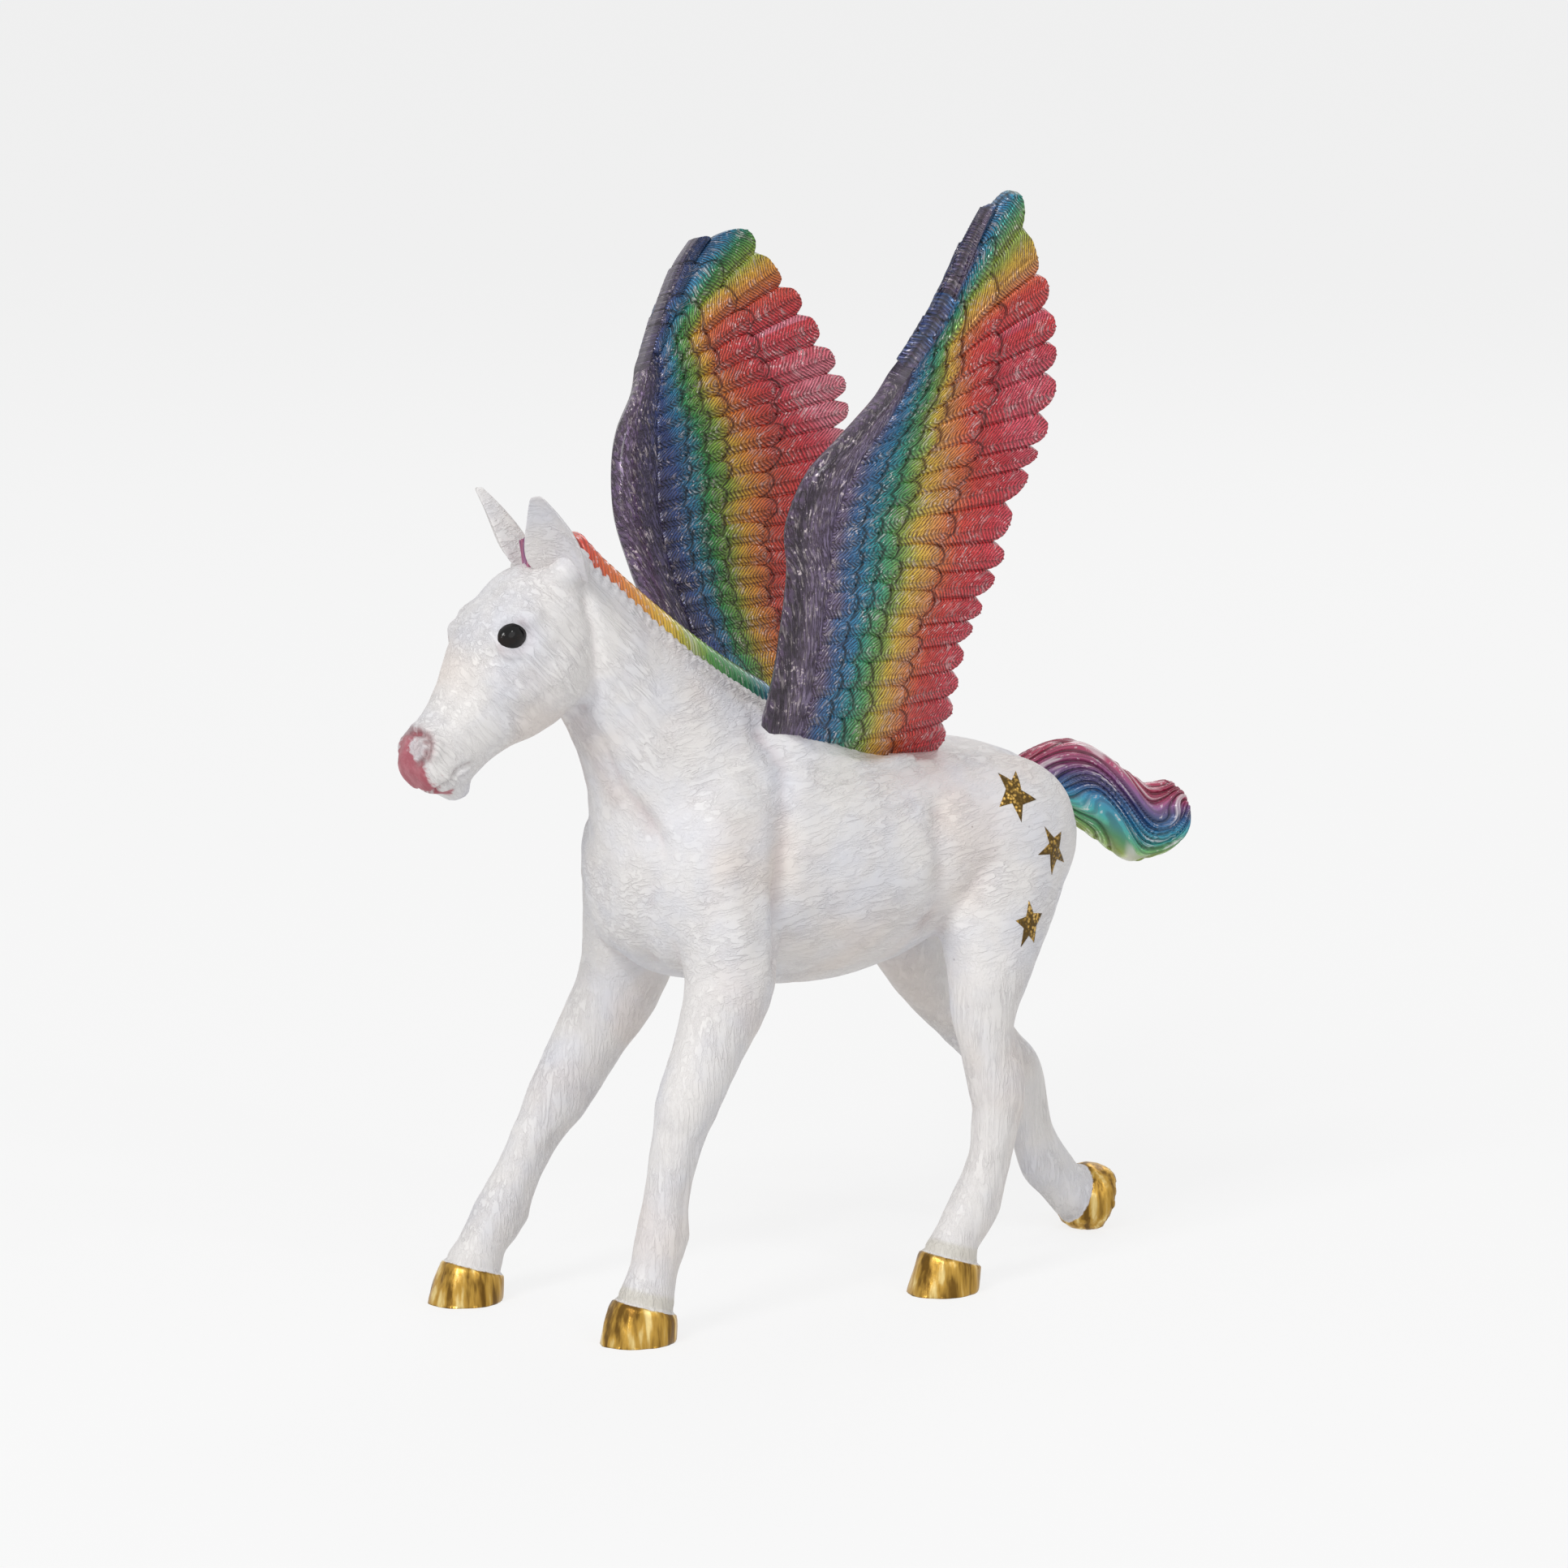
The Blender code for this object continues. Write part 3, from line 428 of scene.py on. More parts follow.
MANE_RAINBOW = (
    (0.00, "d8402c"), (0.07, "e2602c"), (0.20, "f0a03a"), (0.31, "f0c83e"), (0.41, "a9c243"),
    (0.50, "58aa4c"), (0.66, "3f9a66"), (0.80, "2f7aa2"), (0.92, "80508c"), (1.00, "c2708e"),
)
TAIL_RAINBOW = (
    (0.00, "b52e58"), (0.12, "be4c76"), (0.26, "93609a"), (0.39, "4a5088"), (0.51, "2f74b0"),
    (0.63, "2f9cc2"), (0.75, "40b6b6"), (0.87, "5fb874"), (1.00, "b0ca52"),
)


class FoalCoatSettings(bpy.types.PropertyGroup):
    surface_step: bpy.props.FloatProperty(
        name="Surface step", description="Grain of the carved skin", default=0.00041,
        min=0.0002, max=0.002, unit="LENGTH", precision=5)
    coat: bpy.props.FloatVectorProperty(
        name="Coat", description="White paint of the coat", default=linear("eeebe9")[:3],
        size=3, subtype="COLOR")
    # Painted shade: the greyish pink that the coat takes in the hollows of the skin
    hollow_shade: bpy.props.FloatVectorProperty(
        name="Blush", description="Tint that lies in the hollows", default=linear("c8b6b8")[:3],
        size=3, subtype="COLOR")
    muzzle: bpy.props.FloatVectorProperty(
        name="Muzzle", description="Pink of the muzzle", default=linear("a84454")[:3],
        size=3, subtype="COLOR")
    gold: bpy.props.FloatVectorProperty(
        name="Gold", description="Gold of the hooves", default=linear("b99141")[:3],
        size=3, subtype="COLOR")


class FoalHairSettings(bpy.types.PropertyGroup):
    tail_grooves: bpy.props.FloatProperty(
        name="Tail grooves", description="How many grooves lie over one side of the tail", default=9.0,
        min=2.0, max=16.0)
    groove_depth: bpy.props.FloatProperty(
        name="Groove depth", description="Depth of the tail's grooves", default=0.00062, min=0.0,
        max=0.0015, unit="LENGTH", precision=5)
    mane_locks: bpy.props.IntProperty(
        name="Mane locks", description="How many locks hang from the crest", default=62, min=6, max=90)
    lock_sides: bpy.props.IntProperty(
        name="Lock sides", description="Corners round one lock", default=15, min=6, max=30)


class FoalWingSettings(bpy.types.PropertyGroup):
    barb_height: bpy.props.FloatProperty(
        name="Barb height", description="Depth of the grooves between barbs", default=0.00007,
        min=0.0, max=0.0005, unit="LENGTH", precision=5)
    shaft_height: bpy.props.FloatProperty(
        name="Shaft height", description="Height of each feather's shaft", default=0.00020,
        min=0.0, max=0.0005, unit="LENGTH", precision=5)
    feather_crown: bpy.props.FloatProperty(
        name="Feather crown", description="How much a feather bulges across", default=0.00028,
        min=0.0, max=0.001, unit="LENGTH", precision=5)
    seed: bpy.props.IntProperty(name="Seed", description="Order of the small differences", default=7)


class FoalStageSettings(bpy.types.PropertyGroup):
    azimuth: bpy.props.FloatProperty(
        name="Azimuth", description="Camera's turn about the foal, from its front",
        default=math.radians(55.0), subtype="ANGLE")
    elevation: bpy.props.FloatProperty(
        name="Elevation", description="Camera's height angle", default=math.radians(8.5), subtype="ANGLE")
    distance: bpy.props.FloatProperty(
        name="Distance", description="Camera's distance", default=0.6, unit="LENGTH")
    lens: bpy.props.FloatProperty(
        name="Lens", description="Focal length in millimetres", default=144.9)


class Signal:
    """A node's output that can stand in a Python expression, where each operator adds a Math node."""

    def __init__(self, finish, socket):
        self.finish = finish
        self.socket = socket

    def math(self, operation, *others, **settings):
        return self.finish.node("ShaderNodeMath", dict(enumerate((self, *others))),
                                operation=operation, **settings)

    def swapped(self, operation, other):
        return self.finish.node("ShaderNodeMath", {0: other, 1: self}, operation=operation)

    def __add__(self, other):
        return self.math("ADD", other)

    def __radd__(self, other):
        return self.swapped("ADD", other)

    def __sub__(self, other):
        return self.math("SUBTRACT", other)

    def __rsub__(self, other):
        return self.swapped("SUBTRACT", other)

    def __mul__(self, other):
        return self.math("MULTIPLY", other)

    def __rmul__(self, other):
        return self.swapped("MULTIPLY", other)

    def __truediv__(self, other):
        return self.math("DIVIDE", other)

    def __pow__(self, other):
        return self.math("POWER", other)

    def __abs__(self):
        return self.math("ABSOLUTE")

    def least(self, other):
        return self.math("MINIMUM", other)

    def most(self, other):
        return self.math("MAXIMUM", other)

    def step(self, low, high):
        """Rises smoothly from 0 at the low value to 1 at the high one."""
        return self.finish.node(
            "ShaderNodeMapRange",
            {"Value": self, "From Min": low, "From Max": high, "To Min": 0.0, "To Max": 1.0},
            interpolation_type="SMOOTHSTEP", clamp=True)


class Finish:
    """One painted or bare finish, built as a tree of nodes."""

    def __init__(self, name):
        self.material = bpy.data.materials.new(name)
        self.material.use_nodes = True
        self.tree = self.material.node_tree
        self.shader = self.tree.nodes["Principled BSDF"]

    def node(self, kind, sockets=None, output=0, stops=None, **settings):
        node = self.tree.nodes.new(kind)
        for name, value in settings.items():
            setattr(node, name, value)
        if stops:
            elements = node.color_ramp.elements
            while len(elements) < len(stops):
                elements.new(0.5)
            for element, (place, colour) in zip(elements, stops):
                element.position = place
                element.color = colour
        for key, value in (sockets or {}).items():
            if isinstance(value, Signal):
                self.tree.links.new(value.socket, node.inputs[key])
            else:
                node.inputs[key].default_value = value
        return Signal(self, node.outputs[output])

    def place(self):
        return self.node("ShaderNodeTexCoord", output="Object")

    def attribute(self, name, output="Fac"):
        return self.node("ShaderNodeAttribute", attribute_name=name, output=output)

    def axes(self, vector):
        parts = self.node("ShaderNodeSeparateXYZ", {0: vector}).socket.node
        return [Signal(self, socket) for socket in parts.outputs]

    def joined(self, x, y, z):
        return self.node("ShaderNodeCombineXYZ", {0: x, 1: y, 2: z})

    def noise(self, vector, scale, detail=3.0, roughness=0.55, distortion=0.0):
        return self.node("ShaderNodeTexNoise", {
            "Vector": vector, "Scale": scale, "Detail": detail, "Roughness": roughness,
            "Distortion": distortion}, output="Fac")

    def cells(self, vector, scale):
        return self.node("ShaderNodeTexVoronoi", {"Vector": vector, "Scale": scale}, output="Distance")

    def mix(self, factor, first, second, blend="MIX"):
        return self.node("ShaderNodeMix", {0: factor, 6: first, 7: second}, output=2,
                         data_type="RGBA", blend_type=blend)

    def ramp(self, value, stops):
        return self.node("ShaderNodeValToRGB", {0: value}, output="Color",
                         stops=[(place, linear(code)) for place, code in stops])

    def bump(self, height, strength, distance):
        return self.node("ShaderNodeBump", {"Height": height, "Strength": strength,
                                            "Distance": distance}, output="Normal")

    def set(self, **sockets):
        """Sets or links the shader's own sockets, named with low lines for spaces."""
        for name, value in sockets.items():
            socket = self.shader.inputs[name.replace("_", " ")]
            if isinstance(value, Signal):
                self.tree.links.new(value.socket, socket)
            else:
                socket.default_value = value
        return self.material


def coat_finish(settings):
    """Satin white with engraved hair, painted shade in the hollows, pink muzzle and gold hooves."""
    finish = Finish("white_coat_paint")
    place = finish.place()
    x, y, z = finish.axes(place)
    hollow = finish.attribute("hollow")
    hoof = finish.attribute("hoof")
    muzzle = finish.attribute("muzzle")
    leg = finish.attribute("leg_share")
    neck = finish.attribute("neck_share")

    slanted = finish.joined(x * 900.0, y * 300.0 + z * 120.0, z * 1300.0 - y * 260.0)
    upright = finish.joined(x * 1500.0, y * 1500.0, z * 230.0)
    along_neck = finish.joined(x * 1300.0, (y + z) * 1000.0, (z - y) * 170.0)
    trunk_hair = finish.noise(slanted, 1.0, 4.0, 0.6, 0.4)
    leg_hair = finish.noise(upright, 1.0, 4.0, 0.6, 0.3)
    neck_hair = finish.noise(along_neck, 1.0, 4.0, 0.6, 0.5)
    hair = trunk_hair * (1.0 - leg) * (1.0 - neck) + leg_hair * leg + neck_hair * neck * (1.0 - leg)
    strokes = abs(hair - 0.5).step(0.0, 0.10)
    patches = finish.noise(place, 140.0, 3.0)
    present = finish.noise(place, 230.0, 2.0).step(0.45, 0.62)

    white = (*settings.coat, 1.0)
    cool = finish.mix(patches.step(0.35, 0.75) * 0.7, white, linear("dfe1eb"))
    warm = finish.mix(finish.noise(place, 75.0, 2.0).step(0.48, 0.7) * 0.6, cool, linear("efe3da"))
    # Painted shade: the coat turns greyish pink where the skin lies in a hollow
    hollow_shaded = finish.mix(hollow.step(0.02, 0.50) * 0.55, warm, (*settings.hollow_shade, 1.0))
    # Greyer along the creases that the crease marks follow
    crease_greyed = finish.mix(finish.attribute("crease_grey") * 0.5, hollow_shaded, linear("b9a7a4"))
    stroked = finish.mix((1.0 - strokes) * (0.35 + 0.65 * present) * 0.15, crease_greyed, linear("b2a6ad"))
    specks = (1.0 - finish.cells(place, 420.0).step(0.030, 0.065)) * patches.step(0.56, 0.64)
    speckled = finish.mix(specks * 0.5, stroked, linear("5c4a44"))

    brushed = finish.noise(finish.joined(x * 900.0, y * 330.0, z * 800.0 + y * 300.0), 1.0, 3.0, 0.7)
    pink = 1.0 - (muzzle + (brushed - 0.5) * 2.6).step(-0.30, 0.30)
    deep = finish.mix(brushed.step(0.40, 0.72) * 0.55, (*settings.muzzle, 1.0), linear("cf7f8a"))
    nosed = finish.mix(pink * 0.94, speckled, deep)
    # Rose of the inner skin: real flush in the nostrils and round the eyes; on the ears a faint flush with
    # painted shade in their hollows
    inner = finish.attribute("inside")
    flushed_and_shaded = finish.mix(inner * 0.80, nosed, linear("9d7074"))
    creamed = finish.mix(finish.attribute("cream") * 0.7, flushed_and_shaded, linear("d6d1c4"))

    lumps = finish.noise(place, 900.0, 4.0, 0.65)
    streaks = finish.noise(finish.joined(x * 900.0, y * 900.0, z * 110.0), 1.0, 3.0, 0.55)
    edge = (hoof + (lumps - 0.5) * 0.35).step(-0.05, 0.08)
    worn = finish.mix(streaks.step(0.36, 0.56), linear("6d4f1c"), (*settings.gold, 1.0))
    bright = finish.mix(streaks.step(0.54, 0.70) * 0.8, worn, linear("ead493"))
    shod = finish.mix(edge, creamed, bright)
    relief = strokes * (0.55 + 0.45 * present) * (1.0 - pink * 0.5) + lumps * 0.30
    normal = finish.bump(relief * (1.0 - edge) + (streaks * 1.5 + lumps * 0.35) * edge, 0.62, 0.00013)
    return finish.set(Base_Color=shod, Roughness=0.47 - edge * 0.17 + (1.0 - strokes) * 0.08,
                      Metallic=edge * 0.9, Normal=normal, Coat_Weight=0.06, Coat_Roughness=0.35,
                      Specular_IOR_Level=0.42)


def foil_finish():
    """Dark bronze foil with coarse glitter."""
    finish = Finish("bronze_star_foil")
    place = finish.place()
    grains = finish.cells(place, 3000.0)
    patches = finish.noise(place, 600.0, 3.0)
    glitter = grains.step(0.62, 0.25) * patches.step(0.36, 0.60)
    colour = finish.mix(glitter, linear("57431f"), linear("c8a050"))
    sparks = (1.0 - grains.step(0.10, 0.22)) * patches.step(0.50, 0.62)
    sparked = finish.mix(sparks * 0.8, colour, linear("f3e2b0"))
    normal = finish.bump(grains + patches * 0.6, 0.8, 0.00012)
    return finish.set(Base_Color=sparked, Roughness=0.34, Metallic=0.85, Normal=normal)


def rainbow_finish(name, stops):
    """Pearl paint of the hair: its colour follows the stored band, with a dark wash and painted shade in the
    grooves and painted highlights on the crests.
    """
    finish = Finish(name)
    place = finish.place()
    groove = finish.attribute("groove")
    mottle = finish.noise(place, 420.0, 4.0, 0.62)
    colour = finish.ramp(finish.attribute("band") + (mottle - 0.5) * 0.07, stops)
    thread = ((finish.attribute("thread") + mottle * 0.8) * math.tau).math("SINE")
    # Dark wash and painted shade in the grooves
    groove_wash_and_shade = finish.mix(groove.step(0.15, 0.9) * 0.85, colour, linear("6a5668"), "MULTIPLY")
    lined = finish.mix((1.0 - thread.step(-0.8, 0.2)) * 0.5, groove_wash_and_shade, linear("8d7d92"), "MULTIPLY")
    # Painted highlights: near-white flecks and sheen streaks on the crests, none in the grooves
    painted_glint_flecks = finish.noise(place, 1500.0, 2.0, 0.6).step(0.55, 0.66) * thread.step(0.2, 0.9)
    sheen = finish.joined(finish.attribute("thread") * 0.45, finish.axes(place)[1] * 170.0, 0.0)
    sheen_streaks = finish.noise(sheen, 1.0, 2.0, 0.5).step(0.56, 0.64)
    crest = (painted_glint_flecks * 0.8).most(sheen_streaks * 0.75) * (1.0 - groove.step(0.1, 0.5))
    with_painted_glints = finish.mix(crest * 0.75, lined, linear("fbf2f5"))
    normal = finish.bump(thread * 0.5 + mottle * 0.6, 0.6, 0.00012)
    return finish.set(Base_Color=with_painted_glints, Roughness=0.26 + groove * 0.2, Metallic=0.12, Normal=normal,
                      Coat_Weight=0.5, Coat_Roughness=0.12)


def covert_shade(across, along):
    """Dark wash and painted shade in the crevice just behind the rounded end of every covert."""
    whole = None
    rounding, power = COVERT_SHAPE["rounding"], COVERT_SHAPE["power"]
    for number, (start, end, feathers, _, wander) in enumerate(COVERT_ROWS):
        place = along * (feathers + 0.5) - 0.25 * (number % 2)
        index = place.math("FLOOR")
        aside = (place - index - 0.5) / (COVERT_WIDTH / 2.0)
        far = (index * 2.4 + 1.7 * number).math("SINE") * wander + (end - start)
        rounded = (1.0 - aside * aside) ** (1.0 / power) * (1.0 - rounding) + rounding
        gap = across - start - far * rounded
        shade = gap.step(-0.004, 0.002) * (1.0 - gap.step(0.004, 0.018))
        whole = shade if whole is None else whole.most(shade)
    return whole


def feather_finish():
    """Pearl paint of the wings: rows, seams, shafts and barbs drawn from each feather's own map, with dark
    wash and painted shade in the crevices and painted highlights along the barbs.
    """
    finish = Finish("wing_pearl_paint")
    place = finish.place()
    flat_across, flat_along, _ = finish.axes(finish.attribute("spread", "Vector"))
    along, aside, _ = finish.axes(finish.attribute("blade", "Vector"))
    long, wide, seam = finish.axes(finish.attribute("size", "Vector"))
    across = flat_across * (1.0 - ACROSS_LOW) + ACROSS_LOW
    feathered = (long * 1000.0).least(1.0)
    mottle = finish.noise(place, 420.0, 4.0, 0.62)
    fine = finish.noise(place, 1500.0, 3.0, 0.65)
    shifted = finish.attribute("band") + (mottle - 0.5) * 0.06
    # Painted shade: the inner faces take the darker rainbow
    colour = finish.mix(finish.attribute("inner_face"), finish.ramp(shifted, OUTER_RAINBOW),
                        finish.ramp(shifted, SHADED_INNER_RAINBOW))

    slant = along * long * 62.0 - abs(aside) * wide * 60.0 + mottle * 2.0
    barbs = (slant * math.tau).math("SINE")
    arm = finish.joined(across * 62.0 + flat_along * 24.0, flat_along * 17.0, 0.0)
    arm_strokes = abs(finish.noise(arm, 1.0, 3.0, 0.6) - 0.5).step(0.0, 0.085)
    line = barbs.step(-0.95, 0.35) * feathered + arm_strokes * (1.0 - feathered)
    lengthwise = finish.joined(along * long * 9.0, aside * wide * 75.0, flat_along * 40.0)
    streaks = finish.noise(lengthwise, 1.0, 2.0)
    shaft = (1.0 - abs(aside).step(0.03, 0.12)) * feathered * (1.0 - along.step(0.82, 0.97))
    beside = (1.0 - abs(abs(aside) - 0.16).step(0.02, 0.07)) * feathered * (1.0 - along.step(0.8, 0.95))
    edges = (1.0 - abs(aside + seam).step(0.02, 0.085)) * feathered * (1.0 - along.step(0.80, 0.95))
    # Crevices behind the covert ends, along the seams and at the rims, which take dark wash and painted shade
    crevice = covert_shade(across, flat_along).most(edges * 0.5).most(
        finish.attribute("groove").step(0.3, 1.0))

    across_blade = along * long * 62.0 + abs(aside) * wide * 60.0
    blade_place = finish.joined(slant * 0.9, across_blade * 0.15, flat_along * 31.0)
    hairs = finish.noise(blade_place, 1.0, 2.0, 0.55)
    arm_place = finish.joined(across * 88.0 + flat_along * 34.0, flat_along * 24.0, 7.0)
    arm_hairs = finish.noise(arm_place, 1.0, 2.0, 0.6)
    # Painted highlights: pale streaks along the barbs and the arm's hairs, which also raise the relief
    gleam = hairs.step(0.55, 0.66) * feathered + arm_hairs.step(0.54, 0.66) * (1.0 - feathered)
    broad = finish.mix(streaks.step(0.38, 0.62) * 0.22, colour, linear("a08890"), "MULTIPLY")
    # Dark wash and painted shade in the crevices
    deep = finish.mix(crevice * 0.80, broad, linear("74483c"), "MULTIPLY")
    furrows = (1.0 - line) * (0.45 + 0.55 * fine.step(0.40, 0.60)) * 0.85
    lined = finish.mix(furrows.most(beside * 0.30), deep, linear("734652"), "MULTIPLY")
    # Painted highlights: near-white flecks and glints laid into the colour along the barbs
    painted_glint_flecks = finish.noise(place, 2300.0, 2.0, 0.6).step(0.56, 0.64) * line.step(0.4, 1.0)
    painted_glint_flecks = painted_glint_flecks * mottle.step(0.40, 0.62)
    painted_glints = (painted_glint_flecks * 0.8).most(gleam * mottle.step(0.30, 0.62) * 0.50) * (1.0 - crevice)
    with_painted_glints = finish.mix(painted_glints * 0.72, lined, linear("fff0f0"))
    relief = line * 1.3 + gleam * 0.7 + shaft * 0.9 - crevice * 1.2 + fine * 0.4 + streaks * 0.4
    normal = finish.bump(relief, 0.9, 0.00017)
    return finish.set(Base_Color=with_painted_glints, Roughness=0.30 + crevice * 0.3, Metallic=0.25, Normal=normal,
                      Coat_Weight=0.30, Coat_Roughness=0.14)


def eye_finish():
    """Near-black gloss with dark brown patches."""
    finish = Finish("glossy_eye_paint")
    place = finish.place()
    brown = finish.noise(place, 900.0, 2.0).step(0.42, 0.66)
    colour = finish.mix(brown * 0.6, linear("060506"), linear("20130d"))
    return finish.set(Base_Color=colour, Roughness=0.12 + brown * 0.04, Coat_Weight=0.10,
                      Coat_Roughness=0.04, Specular_IOR_Level=0.22)


def follow(points, share):
    """A point at a share of the way along a smooth curve through evenly counted points."""
    place = min(max(share, 0.0), 1.0) * (len(points) - 1)
    start = min(int(place), len(points) - 2)
    way = place - start
    before = points[max(start - 1, 0)]
    after = points[min(start + 2, len(points) - 1)]
    squared = way * way
    cubed = squared * way
    weights = (2 * cubed - 3 * squared + 1, (cubed - 2 * squared + way) / 2.0,
               3 * squared - 2 * cubed, (cubed - squared) / 2.0)
    return [b * weights[0] + (c - a) * weights[1] + c * weights[2] + (d - b) * weights[3]
            for a, b, c, d in zip(before, points[start], points[start + 1], after)]


def finer(points, steps):
    """The same smooth curve with more points between each two."""
    count = (len(points) - 1) * steps
    return [follow(points, index / count) for index in range(count + 1)]


def shares(steps):
    """Even shares of a way, from 0 to 1."""
    return [step / steps for step in range(steps + 1)]


def bend(start, middle, end, share):
    """A point at a share of the way along the arch from start to end that the middle point pulls."""
    rest = 1.0 - share
    return start * rest * rest + middle * 2.0 * rest * share + end * share * share


def skin(mesh, rings):
    """Closes a body over rings of points, with a flat cap on each end."""
    loops = [[mesh.verts.new(point * MM) for point in ring] for ring in rings]
    for lower, upper in zip(loops, loops[1:]):
        for index in range(len(lower)):
            following = (index + 1) % len(lower)
            mesh.faces.new((lower[index], lower[following], upper[following], upper[index]))
    mesh.faces.new(list(reversed(loops[0])))
    mesh.faces.new(loops[-1])


def ring(centre, side, depth, half_side, half_depth, sides=36):
    points = []
    for index in range(sides):
        angle = math.tau * index / sides
        aside = side * (half_side * math.cos(angle))
        points.append(centre + aside + depth * (half_depth * math.sin(angle)))
    return points


def swelling(mesh, centre, half_sizes, pitch=0.0):
    place = Matrix.Translation(centre * MM) @ Matrix.Rotation(math.radians(pitch), 4, "X")
    size = Matrix.Diagonal([half * MM for half in half_sizes]).to_4x4()
    bmesh.ops.create_uvsphere(mesh, u_segments=32, v_segments=20, radius=1.0, matrix=place @ size)


def both_sides(mesh, centre, half_sizes, pitch=0.0):
    for side in (-1.0, 1.0):
        swelling(mesh, Vector((side * centre[0], centre[1], centre[2])), half_sizes, pitch)


def add_trunk(mesh):
    rings = []
    for along, top, bottom, width in finer(TRUNK_RINGS, 3):
        middle = BELLY_HEIGHT + TRUNK_DEPTH * (top + bottom) / 2.0
        centre = Vector((0.0, CHEST_PLACE + along * TRUNK_LENGTH, middle))
        rings.append(ring(centre, Vector((1, 0, 0)), Vector((0, 0, 1)), width * TRUNK_WIDTH / 2.0,
                          TRUNK_DEPTH * (top - bottom) / 2.0))
    skin(mesh, rings)
    half = TRUNK_WIDTH / 2.0
    shoulder = (0.60 * half, SHOULDER_PLACE + 1.5, WITHERS_HEIGHT - 14.5)
    breast = (0.30 * half, CHEST_PLACE + 6.6, WITHERS_HEIGHT - 16.0)
    haunch = (0.52 * half, HIP_PLACE - 0.6, BELLY_HEIGHT + 12.4)
    wing_root = (0.38 * half, WITHERS_PLACE + 0.4, WITHERS_HEIGHT - 5.8)
    both_sides(mesh, shoulder, SHOULDER_MUSCLE, -12.0)
    both_sides(mesh, breast, BREAST_MUSCLE)
    both_sides(mesh, haunch, HAUNCH_MUSCLE, 20.0)
    both_sides(mesh, wing_root, WING_MOUND, -8.0)


def add_root_lip(mesh):
    """The ledge of the back on which the rear half of each wing root sits."""
    for side in (-1.0, 1.0):
        stations = []
        for way in shares(14):
            x, y, z = follow(ROOT_LIP, way)
            stations.append(ring(Vector((side * x, y, z)), Vector((1, 0, 0)), Vector((0, 0, 1)),
                                 0.80 * (1.0 - 0.5 * way ** 4), 0.62, 20))
        skin(mesh, stations)


def neck_station(share):
    """The front point, crest point and half width of the neck at a share of its rise."""
    withers = Vector((0.0, WITHERS_PLACE + 1.6, WITHERS_HEIGHT - 0.4))
    crest = bend(withers, withers + Vector((0.0, -8.8, 3.0)), POLL + Vector((0.0, 3.6, 0.1)), share)
    chest = Vector((0.0, CHEST_PLACE + 0.3, BELLY_HEIGHT + 15.6))
    throat = POLL + Vector((0.0, 0.9, -THROAT_DEPTH))
    front = bend(chest, chest + Vector((0.0, -0.2, 8.0)), throat, share)
    half_width = (NECK_BASE_WIDTH + (NECK_TOP_WIDTH - NECK_BASE_WIDTH) * share ** 0.7) / 2.0
    return front, crest, half_width


def add_neck(mesh):
    rings = []
    for share in shares(21):
        front, crest, half_width = neck_station(share)
        across = crest - front
        rings.append(ring((front + crest) / 2.0, Vector((1, 0, 0)), across.normalized(), half_width,
                          across.length / 2.0))
    skin(mesh, rings)


def head_axes():
    pitch = math.radians(HEAD_PITCH)
    return (Vector((0.0, -math.cos(pitch), -math.sin(pitch))),
            Vector((0.0, -math.sin(pitch), math.cos(pitch))))


def head_point(along, out, aside=0.0):
    """A point in the head's own frame: along the face from the poll, out of the forehead."""
    forward, outward = head_axes()
    return POLL + forward * (along * HEAD_LENGTH) + outward * (out * HEAD_DEPTH) + Vector((aside, 0, 0))


def add_head(mesh):
    rings = []
    for along_top, top, along_bottom, bottom, width in finer(HEAD_RINGS, 4):
        forehead = head_point(along_top, top)
        jaw = head_point(along_bottom, bottom)
        across = forehead - jaw
        rings.append(ring((forehead + jaw) / 2.0, Vector((1, 0, 0)), across.normalized(),
                          width * HEAD_WIDTH / 2.0, across.length / 2.0))
    skin(mesh, rings)
    half = HEAD_WIDTH / 2.0
    both_sides(mesh, head_point(0.38, -0.44, 0.52 * half), CHEEK, 20.0)
    both_sides(mesh, head_point(0.41, -0.05, 0.70 * half), EYE_MOUND, 40.0)
    both_sides(mesh, head_point(0.94, -0.07, 0.38 * half), NOSTRIL_RIM)
    both_sides(mesh, ear_frame(1.0)[0] + Vector((0.0, 0.0, -0.7)), EAR_ROOT, 30.0)
    swelling(mesh, head_point(0.98, -0.45), LOWER_LIP, 10.0)


def ear_frame(side):
    """The ear's base, its tip and the turn of its opening."""
    base = head_point(0.02, -0.05, side * EAR_SPREAD / 2.0) + Vector((0.0, 0.9, -0.1))
    tip = base + Vector((side * 0.26, -0.62, 0.93)) * EAR_LENGTH
    return base, tip, Matrix.Rotation(math.radians(side * EAR_TURN), 3, "Z")


def add_ear(mesh, side):
    """A pointed leaf that is hollow in front, with its rim rolled forward."""
    base, tip, turn = ear_frame(side)
    rings = []
    for share, width in finer(EAR_RINGS, 6):
        half_width = max(width, 0.05) * EAR_WIDTH / 2.0
        bow = Vector((0.0, 0.5 * math.sin(math.pi * min(max(share, 0.0), 1.0)), 0.0))
        points = []
        for index in range(56):
            angle = math.tau * index / 56
            across = half_width * math.cos(angle)
            curl = 0.74 * half_width * (across / half_width) ** 2
            through = (0.20 + 0.36 * width) * math.sin(angle) - curl
            points.append(base + (tip - base) * share + bow + turn @ Vector((across, through, 0.0)))
        rings.append(points)
    skin(mesh, rings)


